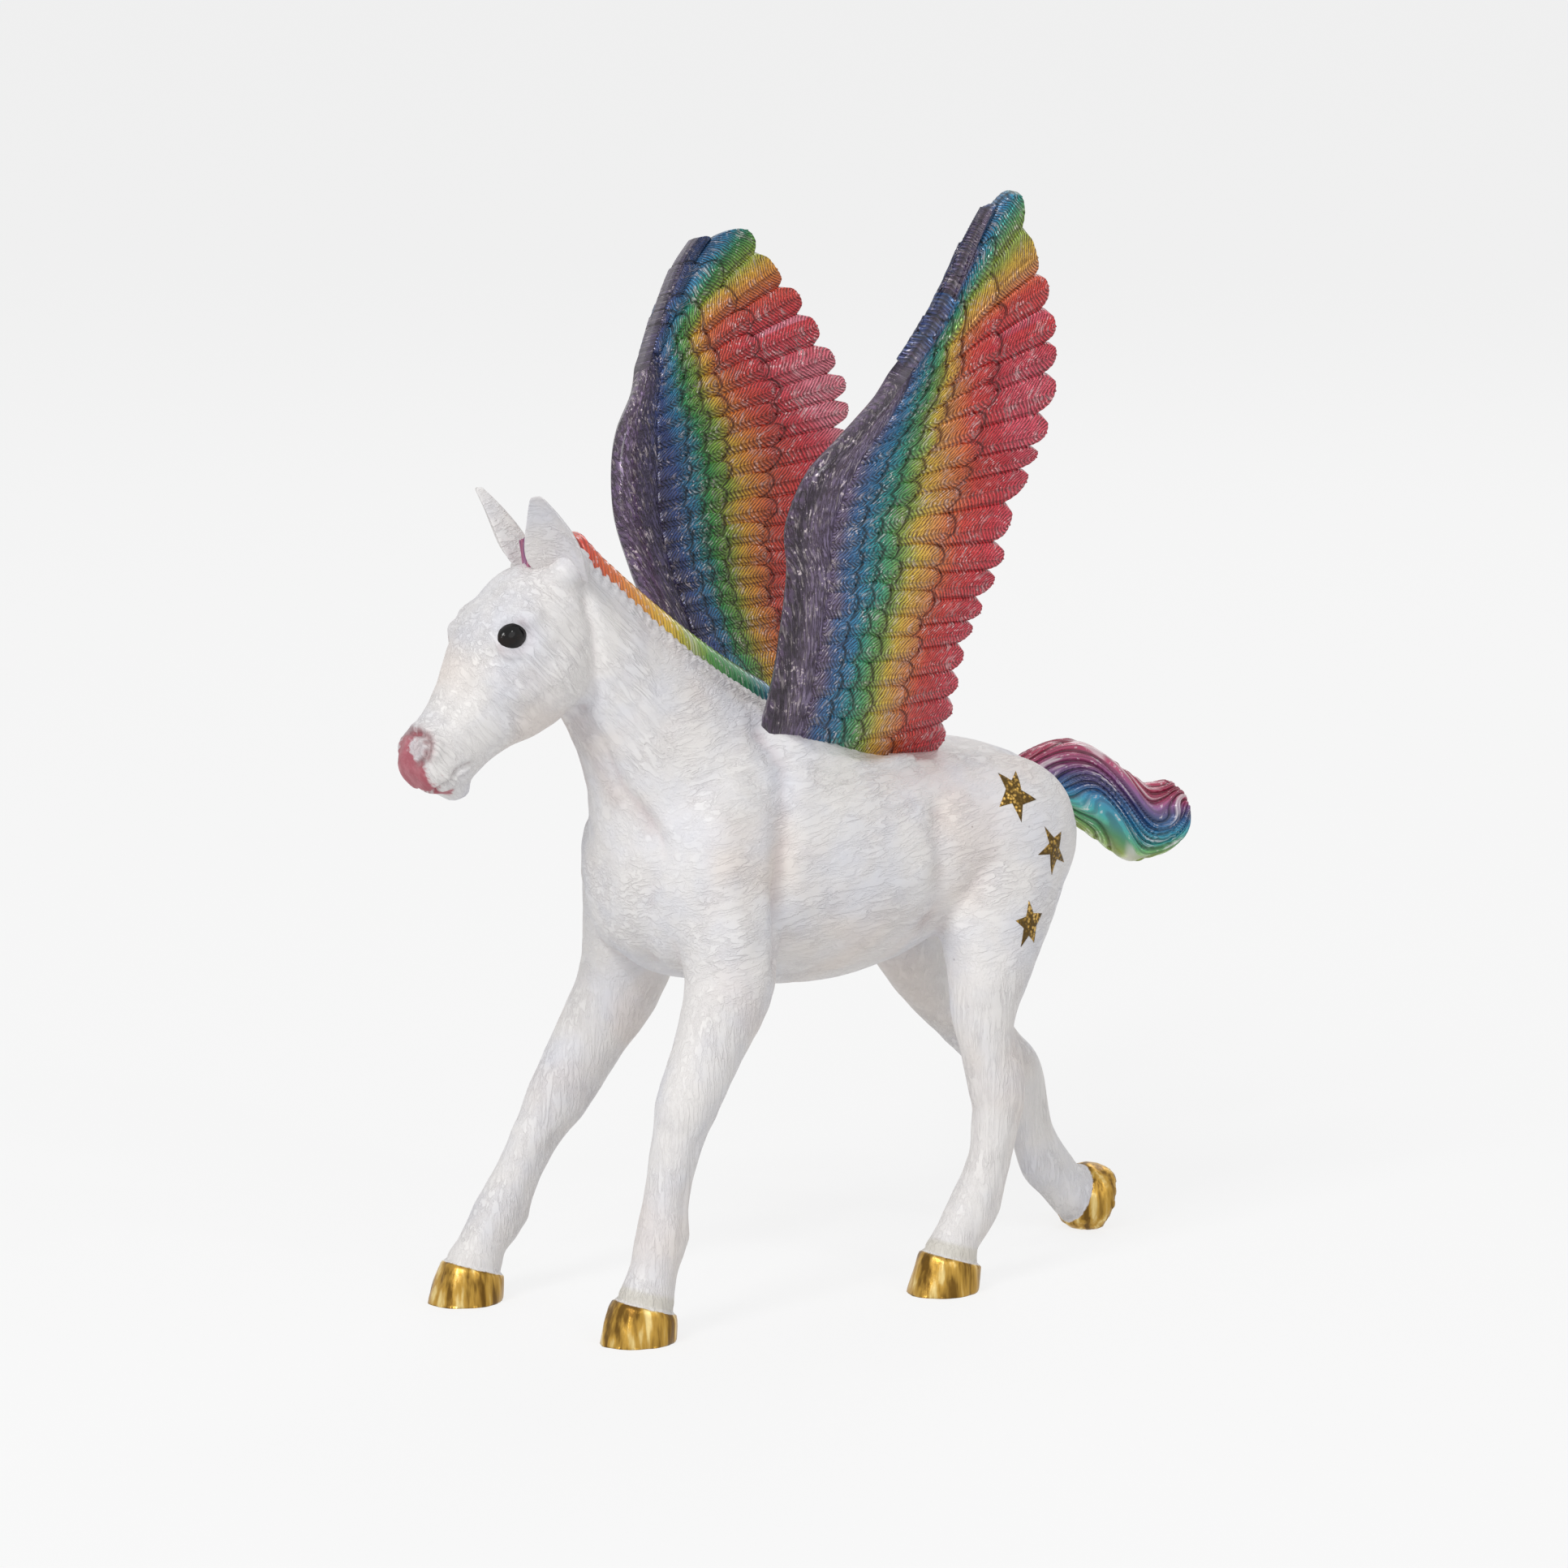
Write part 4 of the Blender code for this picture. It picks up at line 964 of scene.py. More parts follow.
def add_leg(mesh, joints, anchor):
    """One leg's rings, and the places of its joints from top to bottom."""
    stations = []
    for height, aside, along, half_side, half_depth in finer(joints, 4):
        centre = Vector((aside * STANCE_WIDTH / 2.0, anchor + along, height * LEG_HEIGHT))
        stations.append((centre, half_side, half_depth))
    rings = []
    for index, (centre, half_side, half_depth) in enumerate(stations):
        along = (stations[min(index + 1, len(stations) - 1)][0] - stations[max(index - 1, 0)][0])
        along.normalize()
        side = Vector((1.0, 0.0, 0.0))
        side = (side - along * side.dot(along)).normalized()
        rings.append(ring(centre, side, along.cross(side), half_side, half_depth))
    skin(mesh, rings)
    return [station[0] for station in stations[::4]]


def add_hoof(mesh, coronet, sole, facing):
    along = (sole - coronet).normalized()
    rings = []
    for share, spread in finer(HOOF_RINGS, 3):
        direction = (along * (1.0 - share) + facing * share).normalized()
        side = Vector((1.0, 0.0, 0.0))
        side = (side - direction * side.dot(direction)).normalized()
        rings.append(ring(coronet + (sole - coronet) * share, side, direction.cross(side),
                          spread * HOOF_WIDTH / 2.0, spread * HOOF_LENGTH / 2.0))
    skin(mesh, rings)


def add_legs(mesh):
    """All legs, and for each its coronet, the way its hoof points and its joints' places."""
    down = Vector((0.0, 0.0, -1.0))
    feet = []
    for joints, anchor in (
        (LEFT_FORE_JOINTS, SHOULDER_PLACE),
        (RIGHT_FORE_JOINTS, SHOULDER_PLACE),
        (LEFT_HIND_JOINTS, HIP_PLACE),
    ):
        places = add_leg(mesh, joints, anchor)
        coronet = places[-1].copy()
        coronet.z = HOOF_HEIGHT
        sole = Vector((coronet.x, coronet.y - HOOF_SLANT, -0.6))
        add_hoof(mesh, coronet, sole, down)
        feet.append((coronet, Vector((0.0, 0.06, -1.0)).normalized(), places))
    places = add_leg(mesh, RIGHT_HIND_JOINTS, HIP_PLACE)
    coronet = places[-1].copy()
    backward = Vector((0.0, 0.94, -0.34)).normalized()
    sole = Vector((coronet.x + 0.3, coronet.y + 0.8 * HOOF_HEIGHT, 0.45 * HOOF_LENGTH - 0.35))
    add_hoof(mesh, coronet, sole, backward)
    feet.append((coronet, backward, places))
    return feet


def linked_object(name, data):
    item = bpy.data.objects.new(name, data)
    bpy.context.scene.collection.objects.link(item)
    return item


def mesh_data(name, mesh):
    data = bpy.data.meshes.new(name)
    mesh.to_mesh(data)
    mesh.free()
    return data


def from_mesh(name, mesh):
    return linked_object(name, mesh_data(name, mesh))


def evaluated_mesh(item):
    """What the item's modifiers make of it, as a plain mesh."""
    graph = bpy.context.evaluated_depsgraph_get()
    graph.update()
    return bpy.data.meshes.new_from_object(item.evaluated_get(graph))


def one_skin(name, mesh, step, softening):
    """The overlapping shapes as one closed and softened skin, without what is sealed inside."""
    item = from_mesh(name, mesh)
    remesh = item.modifiers.new("one_moulding", "REMESH")
    remesh.mode = "VOXEL"
    remesh.voxel_size = step
    soften = item.modifiers.new("soft_edges", "SMOOTH")
    soften.factor = 0.5
    soften.iterations = softening
    whole = evaluated_mesh(item)
    bpy.data.objects.remove(item, do_unlink=True)
    mesh = bmesh.new()
    mesh.from_mesh(whole)
    bpy.data.meshes.remove(whole)
    waiting = set(mesh.verts)
    islands = []
    while waiting:
        island = {waiting.pop()}
        edge = list(island)
        while edge:
            vert = edge.pop()
            fresh = [o for o in (link.other_vert(vert) for link in vert.link_edges) if o not in island]
            island.update(fresh)
            edge.extend(fresh)
        waiting -= island
        islands.append(island)
    islands.sort(key=len)
    for island in islands[:-1]:
        bmesh.ops.delete(mesh, geom=list(island), context="VERTS")
    return mesh


def places_of(mesh):
    """The mesh's points in millimetres and their outward directions."""
    count = len(mesh.vertices)
    places = np.empty(count * 3)
    mesh.vertices.foreach_get("co", places)
    normals = np.empty(count * 3)
    mesh.vertex_normals.foreach_get("vector", normals)
    return places.reshape(-1, 3) / MM, normals.reshape(-1, 3)


def put_places(mesh, places):
    mesh.vertices.foreach_set("co", (places * MM).ravel())
    mesh.update()


def line_distance(places, points):
    """How far each place is from a line through the points."""
    best = np.full(len(places), 1e9)
    points = np.array(points, float)
    for start, end in zip(points, points[1:]):
        span = end - start
        share = np.clip((places - start) @ span / max(span @ span, 1e-9), 0.0, 1.0)
        gap = np.linalg.norm(places - (start + share[:, None] * span), axis=1)
        best = np.minimum(best, gap)
    return best


def rise(values, low, high):
    share = np.clip((values - low) / (high - low), 0.0, 1.0)
    return share * share * (3.0 - 2.0 * share)


def averaged(mesh, values, rounds):
    """The values spread over the mesh's neighbours, again and again."""
    pairs = np.empty(len(mesh.edges) * 2, int)
    mesh.edges.foreach_get("vertices", pairs)
    pairs = pairs.reshape(-1, 2)
    count = len(values)
    degree = np.bincount(pairs.ravel(), minlength=count)[:, None]
    for _ in range(rounds):
        spread = np.stack([
            np.bincount(pairs[:, 0], values[pairs[:, 1], axis], count)
            + np.bincount(pairs[:, 1], values[pairs[:, 0], axis], count)
            for axis in range(values.shape[1])], axis=1)
        values = 0.5 * values + 0.5 * spread / np.maximum(degree, 1)
    return values


def store(mesh, name, values):
    attribute = mesh.attributes.new(name, "FLOAT", "POINT")
    attribute.data.foreach_set("value", np.asarray(values, np.float32))


def store_vectors(mesh, name, values):
    attribute = mesh.attributes.new(name, "FLOAT_VECTOR", "POINT")
    attribute.data.foreach_set("vector", values)


def stored(mesh, name, width=1):
    """What an attribute of the mesh holds: single values, or rows of three."""
    values = np.zeros(len(mesh.vertices) * width)
    mesh.attributes[name].data.foreach_get("vector" if width == 3 else "value", values)
    return values.reshape(-1, width) if width == 3 else values


def laid_on(places, points):
    """The smooth curve through the points, laid onto the nearest places of the skin."""
    curve = np.array(finer(points, 5) if len(points) > 2 else points, float)
    return [tuple(places[np.argmin(((places - point) ** 2).sum(axis=1))]) for point in curve]


def mark_distance(places, points):
    """How far each place is from the curve through the points on the skin."""
    return line_distance(places, laid_on(places, points))


def point_distance(places, point):
    return np.linalg.norm(places - np.array(point), axis=1)


def bell(gap, width, power=2):
    """1 on the mark itself, falling smoothly to nothing outside its width."""
    return np.exp(-(gap / width) ** power)


def mirrored(points):
    return [(-x, y, z) for x, y, z in points]


def on_side(points, side):
    """The points of the left side, or the same ones mirrored for the right."""
    return points if side > 0.0 else mirrored(points)


def eye_ring(side):
    """Points round the lids of one eye."""
    points = []
    for index in range(17):
        angle = math.tau * index / 16
        back = 1.95 * math.cos(angle)
        up = 1.45 * math.sin(angle) + 0.18 * math.cos(angle)
        aside = EYE_CENTRE[0] - 0.10 * abs(back)
        points.append((side * aside, EYE_CENTRE[1] + back, EYE_CENTRE[2] + up))
    return points


def carve_face(places, height):
    """Adds to the height: each eye's lids, hollow and brow, the forehead and the forelock's ridge."""
    for side in (-1.0, 1.0):
        height += 0.42 * bell(line_distance(places, eye_ring(side)), 0.46)
        centre = np.array([side * EYE_CENTRE[0], EYE_CENTRE[1], EYE_CENTRE[2]])
        away = np.linalg.norm((places - centre) / np.array(EYE_HOLLOW), axis=1)
        height -= 0.70 * bell(away, 1.0, 4)
        mound = point_distance(places, on_side([BROW_MOUND], side)[0])
        height += 0.62 * bell(mound, 1.05) * (1.0 if side > 0.0 else 1.9)
        height += 0.45 * bell(mark_distance(places, on_side(BROW_RIDGE, side)), 0.8)
    forehead = [tuple(head_point(*spot)) for spot in ((0.03, 0.08), (0.14, 0.17), (0.24, 0.19))]
    height -= 1.05 * bell(mark_distance(places, forehead), 2.9)
    ridge = [tuple(head_point(*spot)) for spot in ((-0.02, 0.04, 0.3), (0.10, 0.13, 0.4))]
    height += 0.45 * bell(mark_distance(places, ridge), 0.7)


def carve_comb(places, height, share=40000):
    """Adds to the height: the toothed comb along the crest's left edge, a share of the skin at a time."""
    crest = np.array([neck_station(way)[1] for way in np.linspace(0.02, 1.0, 160)])
    for start in range(0, len(places), share):
        some = places[start:start + share]
        gaps = np.linalg.norm(some[:, None, :] - crest[None, :, :], axis=2)
        nearest, reach = gaps.argmin(axis=1), gaps.min(axis=1)
        fringe = (1.0 - rise(reach, 3.3, 3.8)) * rise(some[:, 0], 0.1, 0.8) * rise(some[:, 2], *COMB_HEIGHT)
        height[start:start + share] += fringe * (0.42 + 0.16 * np.sin(nearest * 1.15))


def carve_feet(places, height, feet):
    """Adds the hooves' rims, joints and tendons to the height, and returns what the paint follows."""
    hoof = np.full(len(places), NO_HOOF)
    cream = np.zeros(len(places))
    for number, (coronet, facing, joints) in enumerate(feet):
        centre = np.array(coronet)
        lean = facing if number == LIFTED_FOOT else HOOF_LEAN
        past = (places - centre) @ np.array(lean)
        near = point_distance(places, centre) < HOOF_REACH
        hoof = np.where(near, np.maximum(hoof, past), hoof)
        rim = 0.22 * rise(past, -0.15, 0.2) - 0.16 * np.exp(-((past + 0.35) / 0.3) ** 2)
        height += np.where(near, rim, 0.0)
        ridges = np.sin(places[:, 0] * 1.9 + places[:, 1] * 1.3 + number) ** 3
        height += np.where(near, 0.07 * ridges * rise(past, 0.2, 0.8), 0.0)
        if number in CREAM_FEET:
            cream = np.where(near, rise(past, -1.7, -1.2) * (1.0 - rise(past, -0.3, 0.0)), cream)
        for joint, back, size, lift in ((-3, 2.5, 1.0, 0.42), (-5, -2.4, 1.5, 0.16)):
            behind = np.array(joints[joint]) + np.array([0.0, back, -0.2])
            height += lift * bell(point_distance(places, behind), size)
        for side in (-1.0, 1.0):
            beside = np.array([side * 2.1, 0.9, 0.0])
            tendon = [tuple(np.array(joints[joint]) + beside) for joint in (-5, -4, -3)]
            height -= 0.20 * bell(line_distance(places, tendon), 0.6)
    return hoof, cream


def unevenness(places):
    """The slight waves that a hand leaves on a modelled skin."""
    x, y, z = places.T
    broad = np.sin(x * 0.9 + z * 0.7) * np.sin(y * 0.8 - z * 0.5)
    fine = 0.6 * np.sin(x * 2.1 - y * 1.6) * np.sin(z * 1.9 + 1.0)
    return 0.045 * (broad + fine)


def muzzle_reach(places):
    """How far each place is past the edge of the muzzle's pink; below zero is inside it."""
    reach = 1.15 + 1.9 * (1.0 - rise(places[:, 2], 53.9, 56.0))
    nose = np.maximum.reduce([np.abs(places[:, 0] + 0.55) - reach, (places[:, 2] - 57.5) * 0.8,
                              places[:, 1] + 36.9, 52.0 - places[:, 2]])
    lips = np.minimum(line_distance(places, LIP_EDGE), line_distance(places, mirrored(LIP_EDGE)))
    return np.minimum(nose, lips - 0.5)


def inner_skin(places):
    """Where the rosy inner skin shows: the nostrils and the eyes' rims."""
    folds = np.minimum(*[mark_distance(places, on_side(NOSTRIL_FOLD, side)) for side in (1.0, -1.0)])
    inside = bell(folds, 0.42)
    for side in (-1.0, 1.0):
        dish = point_distance(places, on_side([NOSTRIL_DISH], side)[0])
        inside = np.maximum(inside, 0.48 * bell(dish, 0.95, 4))
        inside = np.maximum(inside, 0.35 * bell(line_distance(places, eye_ring(side)), 0.4))
    return inside


def carve_coat(mesh, feet):
    """Presses and raises the skin along the carved marks and stores what the paint follows."""
    places, normals = places_of(mesh)
    height = np.zeros(len(places))
    for points, width, depth in CARVED_PAIRS:
        for line in (points, mirrored(points)):
            height += depth * bell(mark_distance(places, line), width)
    carve_face(places, height)
    carve_comb(places, height)
    hoof, cream = carve_feet(places, height, feet)
    height += unevenness(places)
    places = places + normals * height[:, None]
    places[places[:, 2] < 0.0, 2] = 0.0
    put_places(mesh, places)
    places, normals = places_of(mesh)
    broad = averaged(mesh, places, 26)
    # How near each place lies to the crease marks, where the paint turns greyer
    crease_grey = np.zeros(len(places))
    for points, width in CREASE_GREY_MARKS:
        for line in (points, mirrored(points)):
            crease_grey += bell(line_distance(places, line), width)
    forward = rise(-places[:, 1], 11.0, 17.0) * rise(places[:, 2], 42.0, 48.0)
    for name, values in (
        ("crease_grey", np.clip(crease_grey, 0.0, 1.0)),
        # How far each place lies below its smoothed neighbours, where the paint lays painted shade
        ("hollow", np.einsum("ij,ij->i", broad - places, normals)),
        ("hoof", hoof),
        ("muzzle", muzzle_reach(places)),
        ("leg_share", 1.0 - rise(places[:, 2], 27.0, 35.0)),
        ("neck_share", forward),
        ("cream", cream),
        ("inside", inner_skin(places)),
    ):
        store(mesh, name, values)


def make_coat(settings):
    mesh = bmesh.new()
    add_trunk(mesh)
    add_neck(mesh)
    add_head(mesh)
    feet = add_legs(mesh)
    add_root_lip(mesh)
    bmesh.ops.recalc_face_normals(mesh, faces=mesh.faces[:])
    mesh = one_skin("coat_shapes", mesh, settings.surface_step, softening=9)
    face = [f for f in mesh.faces if f.calc_center_median().y < FACE_BACK * MM
            and f.calc_center_median().z > FACE_LOW * MM]
    edges = list({edge for f in face for edge in f.edges})
    bmesh.ops.subdivide_edges(mesh, edges=edges, cuts=1, use_grid_fill=True)
    bmesh.ops.triangulate(mesh, faces=[f for f in mesh.faces if len(f.verts) > 4])
    item = from_mesh("coat", mesh)
    carve_coat(item.data, feet)
    item.data.materials.append(coat_finish(settings))
    return item


def settle(item, slot, *nodes):
    """Moves the piece to the standing place, shades it smooth and ties it to the frame."""
    item.data.transform(Matrix.Translation(STAND * MM))
    item.data.polygons.foreach_set("use_smooth", [True] * len(item.data.polygons))
    item.data.update()
    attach(item, "root")
    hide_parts(*nodes)


def wing_point(outline, side, across, along):
    """The middle surface of a wing: its place, its outward direction and its half thickness."""
    arm = follow(outline["arm"], along)
    count = len(outline["tips"]) - 1
    tip = follow(outline["tips"], (along * count + 0.5) / count)
    front = follow(outline["front"], across)
    base = outline["arm"][-1]
    end = outline["tips"][-1]
    bow = along ** 4
    flat, height = [arm[k] + (tip[k] - arm[k]) * across
                    + (front[k] - base[k] - (end[k] - base[k]) * across) * bow for k in range(2)]
    climb = height * outline["rise"]
    if climb < 0.0:
        slope = WING_FLARE / WING_FLARE_HEIGHT + WING_LEAN
        aside = WING_ROOT_OFFSET + slope * climb
    else:
        fade = math.exp(-climb / WING_FLARE_HEIGHT)
        aside = WING_ROOT_OFFSET + WING_FLARE * (1.0 - fade) + WING_LEAN * climb
        slope = WING_FLARE / WING_FLARE_HEIGHT * fade + WING_LEAN
    toe_in = WING_TOE_IN * max(0.0, 1.0 - 2.4 * flat) * math.exp(-4.5 * max(height, 0.0))
    place = Vector((side * (aside - toe_in), ROOT_PLACE + flat * WING_CHORD, ROOT_HEIGHT + climb))
    outward = Vector((side, 0.0, -slope)).normalized()
    nose = min((across + 0.04) / 0.12, 1.0)
    rounded = math.sqrt(max(1.0 - (1.0 - nose) ** 2, 0.0))
    half = (ARM_HALF + (TIP_HALF - ARM_HALF) * max(across, 0.0) ** 0.6) * rounded
    return place, outward, half


def wing_sheet(name, outline, side):
    """The wing's middle surface as a grid whose map holds the way across and the way along."""
    mesh = bmesh.new()
    layer = mesh.loops.layers.uv.new("spread_map")
    rows = []
    outs = []
    halves = []
    for i in range(SHEET_ALONG + 1):
        row = []
        for j in range(SHEET_ACROSS + 1):
            across = ACROSS_LOW + (1.0 - ACROSS_LOW) * j / SHEET_ACROSS
            place, outward, half = wing_point(outline, side, across, i / SHEET_ALONG)
            row.append((mesh.verts.new(place * MM), (j / SHEET_ACROSS, i / SHEET_ALONG)))
            outs.extend(outward)
            halves.append(half * MM)
        rows.append(row)
    for lower, upper in zip(rows, rows[1:]):
        for j in range(SHEET_ACROSS):
            corners = (lower[j], lower[j + 1], upper[j + 1], upper[j])
            face = mesh.faces.new([corner[0] for corner in corners])
            for loop, corner in zip(face.loops, corners):
                loop[layer].uv = corner[1]
    item = from_mesh(name, mesh)
    store_vectors(item.data, "outward", outs)
    store(item.data, "half", halves)
    return item


def feather_blank(name, settings, columns, rows, barbs, base, rounding, power, lift):
    """One feather laid flat: its length on X, its width on Y, with its relief stored."""
    mesh = bmesh.new()
    grid, blade, raised, relief = [], [], [], []
    for i in range(rows + 1):
        along = i / rows
        closed = max(0.0, (along - rounding) / (1.0 - rounding)) ** power
        spread = max(min(1.0, base + along) * (1.0 - closed) ** 0.5, 0.03)
        strip = []
        for j in range(columns + 1):
            aside = -1.0 + 2.0 * j / columns
            strip.append(mesh.verts.new((along, 0.5 * aside * spread, 0.0)))
            rim = 1.0 - abs(aside) ** 7
            closing = min(1.0, (1.0 - along) * rows * 0.6) if i > rows - 3 else 1.0
            opening = min(1.0, along * rows * 0.5)
            edge = min(max(min(rim * 1.6, 1.0) * closing, 0.0), 1.0) * opening
            wave = math.sin(math.tau * (barbs * along - 0.2 * barbs * abs(aside)))
            shaft = settings.shaft_height * math.exp(-(aside / 0.14) ** 2) * (1.0 - 0.6 * along)
            crown = settings.feather_crown * (1.0 - aside * aside)
            lines = settings.barb_height * 0.5 * (wave + 1.3 * math.cos(5.0 * math.pi * aside))
            blade.extend((along, aside, 0.0))
            raised.append(edge)
            relief.append(crown + shaft + lines + lift * MM * along ** 1.2 + 0.12 * MM * aside)
        grid.append(strip)
    for lower, upper in zip(grid, grid[1:]):
        for j in range(columns):
            mesh.faces.new((lower[j], upper[j], upper[j + 1], lower[j + 1]))
    item = from_mesh(name, mesh)
    store_vectors(item.data, "blade", blade)
    store(item.data, "raised", raised)
    store(item.data, "relief", relief)
    return item


class NodeRow:
    """A Geometry Nodes tree with named inputs, whose nodes are added and linked in one call."""

    def __init__(self, name, inputs, output):
        self.tree = bpy.data.node_groups.new(name, "GeometryNodeTree")
        self.output = output
        new_socket = self.tree.interface.new_socket
        for label, kind in inputs.items():
            new_socket(label, in_out="INPUT", socket_type="NodeSocket" + kind)
        new_socket(output, in_out="OUTPUT", socket_type="NodeSocketGeometry")
        self.given = self.add("NodeGroupInput")

    def add(self, kind, sockets=None, **settings):
        node = self.tree.nodes.new(kind)
        for key, value in settings.items():
            setattr(node, key, value)
        for key, value in (sockets or {}).items():
            if isinstance(value, bpy.types.NodeSocket):
                self.tree.links.new(value, node.inputs[key])
            else:
                node.inputs[key].default_value = value
        return node.outputs

    def named(self, name, kind="FLOAT"):
        """What is stored under the name on the mesh that comes in."""
        return self.add("GeometryNodeInputNamedAttribute", {"Name": name}, data_type=kind)["Attribute"]

    def maths(self, operation, first, second):
        return self.add("ShaderNodeMath", {0: first, 1: second}, operation=operation)[0]

    def finished(self, geometry):
        """Ends the tree with its finish on the geometry."""
        finish = self.given["Finish"]
        painted = self.add("GeometryNodeSetMaterial", {"Geometry": geometry, "Material": finish})
        self.add("NodeGroupOutput", {self.output: painted["Geometry"]})
        return self.tree


def feather_tree():
    """Lays a blank on every point of a flat plan and wraps the plan round a wing's sheet."""
    rows = NodeRow("feather_rows", {"Plan": "Geometry", "Blank": "Object", "Sheet": "Object",
                                    "Face Side": "Float", "Finish": "Material"}, "Feathers")
    add, named, given = rows.add, rows.named, rows.given
    blank = add("GeometryNodeObjectInfo", {"Object": given["Blank"]})["Geometry"]
    sheet = add("GeometryNodeObjectInfo", {"Object": given["Sheet"]})["Geometry"]
    laid = add("GeometryNodeInstanceOnPoints", {"Points": given["Plan"], "Instance": blank,
                                                "Scale": named("size", "FLOAT_VECTOR")})["Instances"]
    whole = add("GeometryNodeRealizeInstances", {"Geometry": laid})["Geometry"]
    flat = add("GeometryNodeInputPosition")["Position"]
    kept = add("GeometryNodeStoreNamedAttribute", {"Geometry": whole, "Name": "spread", "Value": flat},
               data_type="FLOAT_VECTOR", domain="POINT")["Geometry"]

    def sampled(value, kind):
        return add("GeometryNodeSampleUVSurface",
                   {"Mesh": sheet, "Value": value, "Source UV Map": named("spread_map", "FLOAT_VECTOR"),
                    "Sample UV": flat}, data_type=kind)["Value"]

    surface = sampled(flat, "FLOAT_VECTOR")
    outward = sampled(named("outward", "FLOAT_VECTOR"), "FLOAT_VECTOR")
    half = sampled(named("half"), "FLOAT")
    lifted = rows.maths("ADD", half, rows.maths("MULTIPLY", named("relief"), named("strength")))
    lifted = rows.maths("MULTIPLY", rows.maths("MULTIPLY", lifted, named("raised")), given["Face Side"])
    offset = add("ShaderNodeVectorMath", {0: outward, "Scale": lifted}, operation="SCALE")[0]
    total = add("ShaderNodeVectorMath", {0: surface, 1: offset}, operation="ADD")[0]
    return rows.finished(add("GeometryNodeSetPosition", {"Geometry": kept, "Position": total})["Geometry"])


def run_tree(item, tree, **values):
    """Gives the item the tree with its named inputs, and returns the plain mesh it makes."""
    modifier = item.modifiers.new("rows", "NODES")
    modifier.node_group = tree
    for socket in tree.interface.items_tree:
        if socket.in_out == "INPUT" and socket.name in values:
            modifier[socket.identifier] = values[socket.name]
    result = evaluated_mesh(item)
    item.modifiers.remove(modifier)
    return result


def feather_plan(name, points):
    """Points of a flat plan with the size and strength of the feather on each."""
    data = bpy.data.meshes.new(name)
    data.from_pydata([point[0] for point in points], [], [])
    store_vectors(data, "size", [value for point in points for value in point[1]])
    store(data, "strength", [point[2] for point in points])
    store(data, "shade", [point[3] for point in points])
    return linked_object(name, data)


def plan_rows(seed, count):
    """The points for the coverts and for the flight feathers."""
    chance = np.random.default_rng(seed)
    span = 1.0 - ACROSS_LOW
    coverts = []
    for number, (start, end, feathers, lift, wander) in enumerate(COVERT_ROWS):
        for index in range(feathers):
            middle = (index + 0.5 + 0.25 * (number % 2)) / (feathers + 0.5)
            width = COVERT_WIDTH / (feathers + 0.5)
            width = min(width, 2.0 * middle - 0.002, 2.0 * (1.0 - middle) - 0.002)
            far = end + wander * math.sin(2.4 * index + 1.7 * number)
            size = ((far - start) / span, width, 0.49)
            place = ((start - ACROSS_LOW) / span, middle, 0.0)
            coverts.append((place, size, 0.35 + lift / COVERT_SHAPE["lift"] * 0.9, chance.uniform(-1.0, 1.0)))
    flights = []
    for index in range(count):
        middle = (index + 0.5) / count
        width = min(FLIGHT_WIDTH / count, 2.0 * middle - 0.001, 2.0 * (1.0 - middle) - 0.001)
        size = ((1.0 - FLIGHT_START) / span - 0.001, width, 0.724)
        place = ((FLIGHT_START - ACROSS_LOW) / span, middle, 0.0)
        flights.append((place, size, 1.0, chance.uniform(-1.0, 1.0)))
    return coverts, flights


def wing_core(name, outline, side):
    """The arm and web under the feathers, as one closed slab."""
    mesh = bmesh.new()
    spread = mesh.verts.layers.float_vector.new("spread")
    faces = []
    for sign in (1.0, -1.0):
        grid = []
        for i in range(SHEET_ALONG + 1):
            strip = []
            for j in range(CORE_COLUMNS + 1):
                across = ACROSS_LOW + (CORE_END - ACROSS_LOW) * j / CORE_COLUMNS
                place, outward, half = wing_point(outline, side, across, i / SHEET_ALONG)
                past = max(across - CORE_THINS, 0.0) / (CORE_END - CORE_THINS)
                thinned = half * (1.0 - 0.5 * past) if j < CORE_COLUMNS else 0.0
                vert = mesh.verts.new((place + outward * (sign * thinned)) * MM)
                vert[spread] = ((across - ACROSS_LOW) / (1.0 - ACROSS_LOW), i / SHEET_ALONG, sign)
                strip.append(vert)
            grid.append(strip)
        faces.append(grid)
        for lower, upper in zip(grid, grid[1:]):
            for j in range(CORE_COLUMNS):
                corners = (lower[j], lower[j + 1], upper[j + 1], upper[j])
                mesh.faces.new(corners if sign * side > 0 else corners[::-1])
    for end in (0, SHEET_ALONG):
        outer, inner = faces[0][end], faces[1][end]
        for j in range(CORE_COLUMNS):
            mesh.faces.new((outer[j], outer[j + 1], inner[j + 1], inner[j]))
    bmesh.ops.remove_doubles(mesh, verts=mesh.verts[:], dist=0.002 * MM)
    bmesh.ops.recalc_face_normals(mesh, faces=mesh.faces[:])
    return mesh_data(name, mesh)


def rainbow_band(spread):
    """The rainbow's place from 0 at the leading edge to 1 at the tips, for each flat place."""
    across = np.clip(spread[:, 0] * (1.0 - ACROSS_LOW) + ACROSS_LOW, 0.0, 1.0)
    along = np.clip(spread[:, 1], 0.0, 1.0)
    hand = rise(along, 0.45, 0.85)
    by_feather = np.interp(along, *np.array(HAND_BANDS).T, left=9.0)
    by_feather = np.where(along < 0.78, 0.84 + (0.78 - along) * 2.0, by_feather)
    by_arm = across * (1.0 + 0.45 * hand)
    low = np.minimum(by_arm, by_feather)
    return low - 0.04 * np.exp(-((by_arm - by_feather) / 0.08) ** 2)


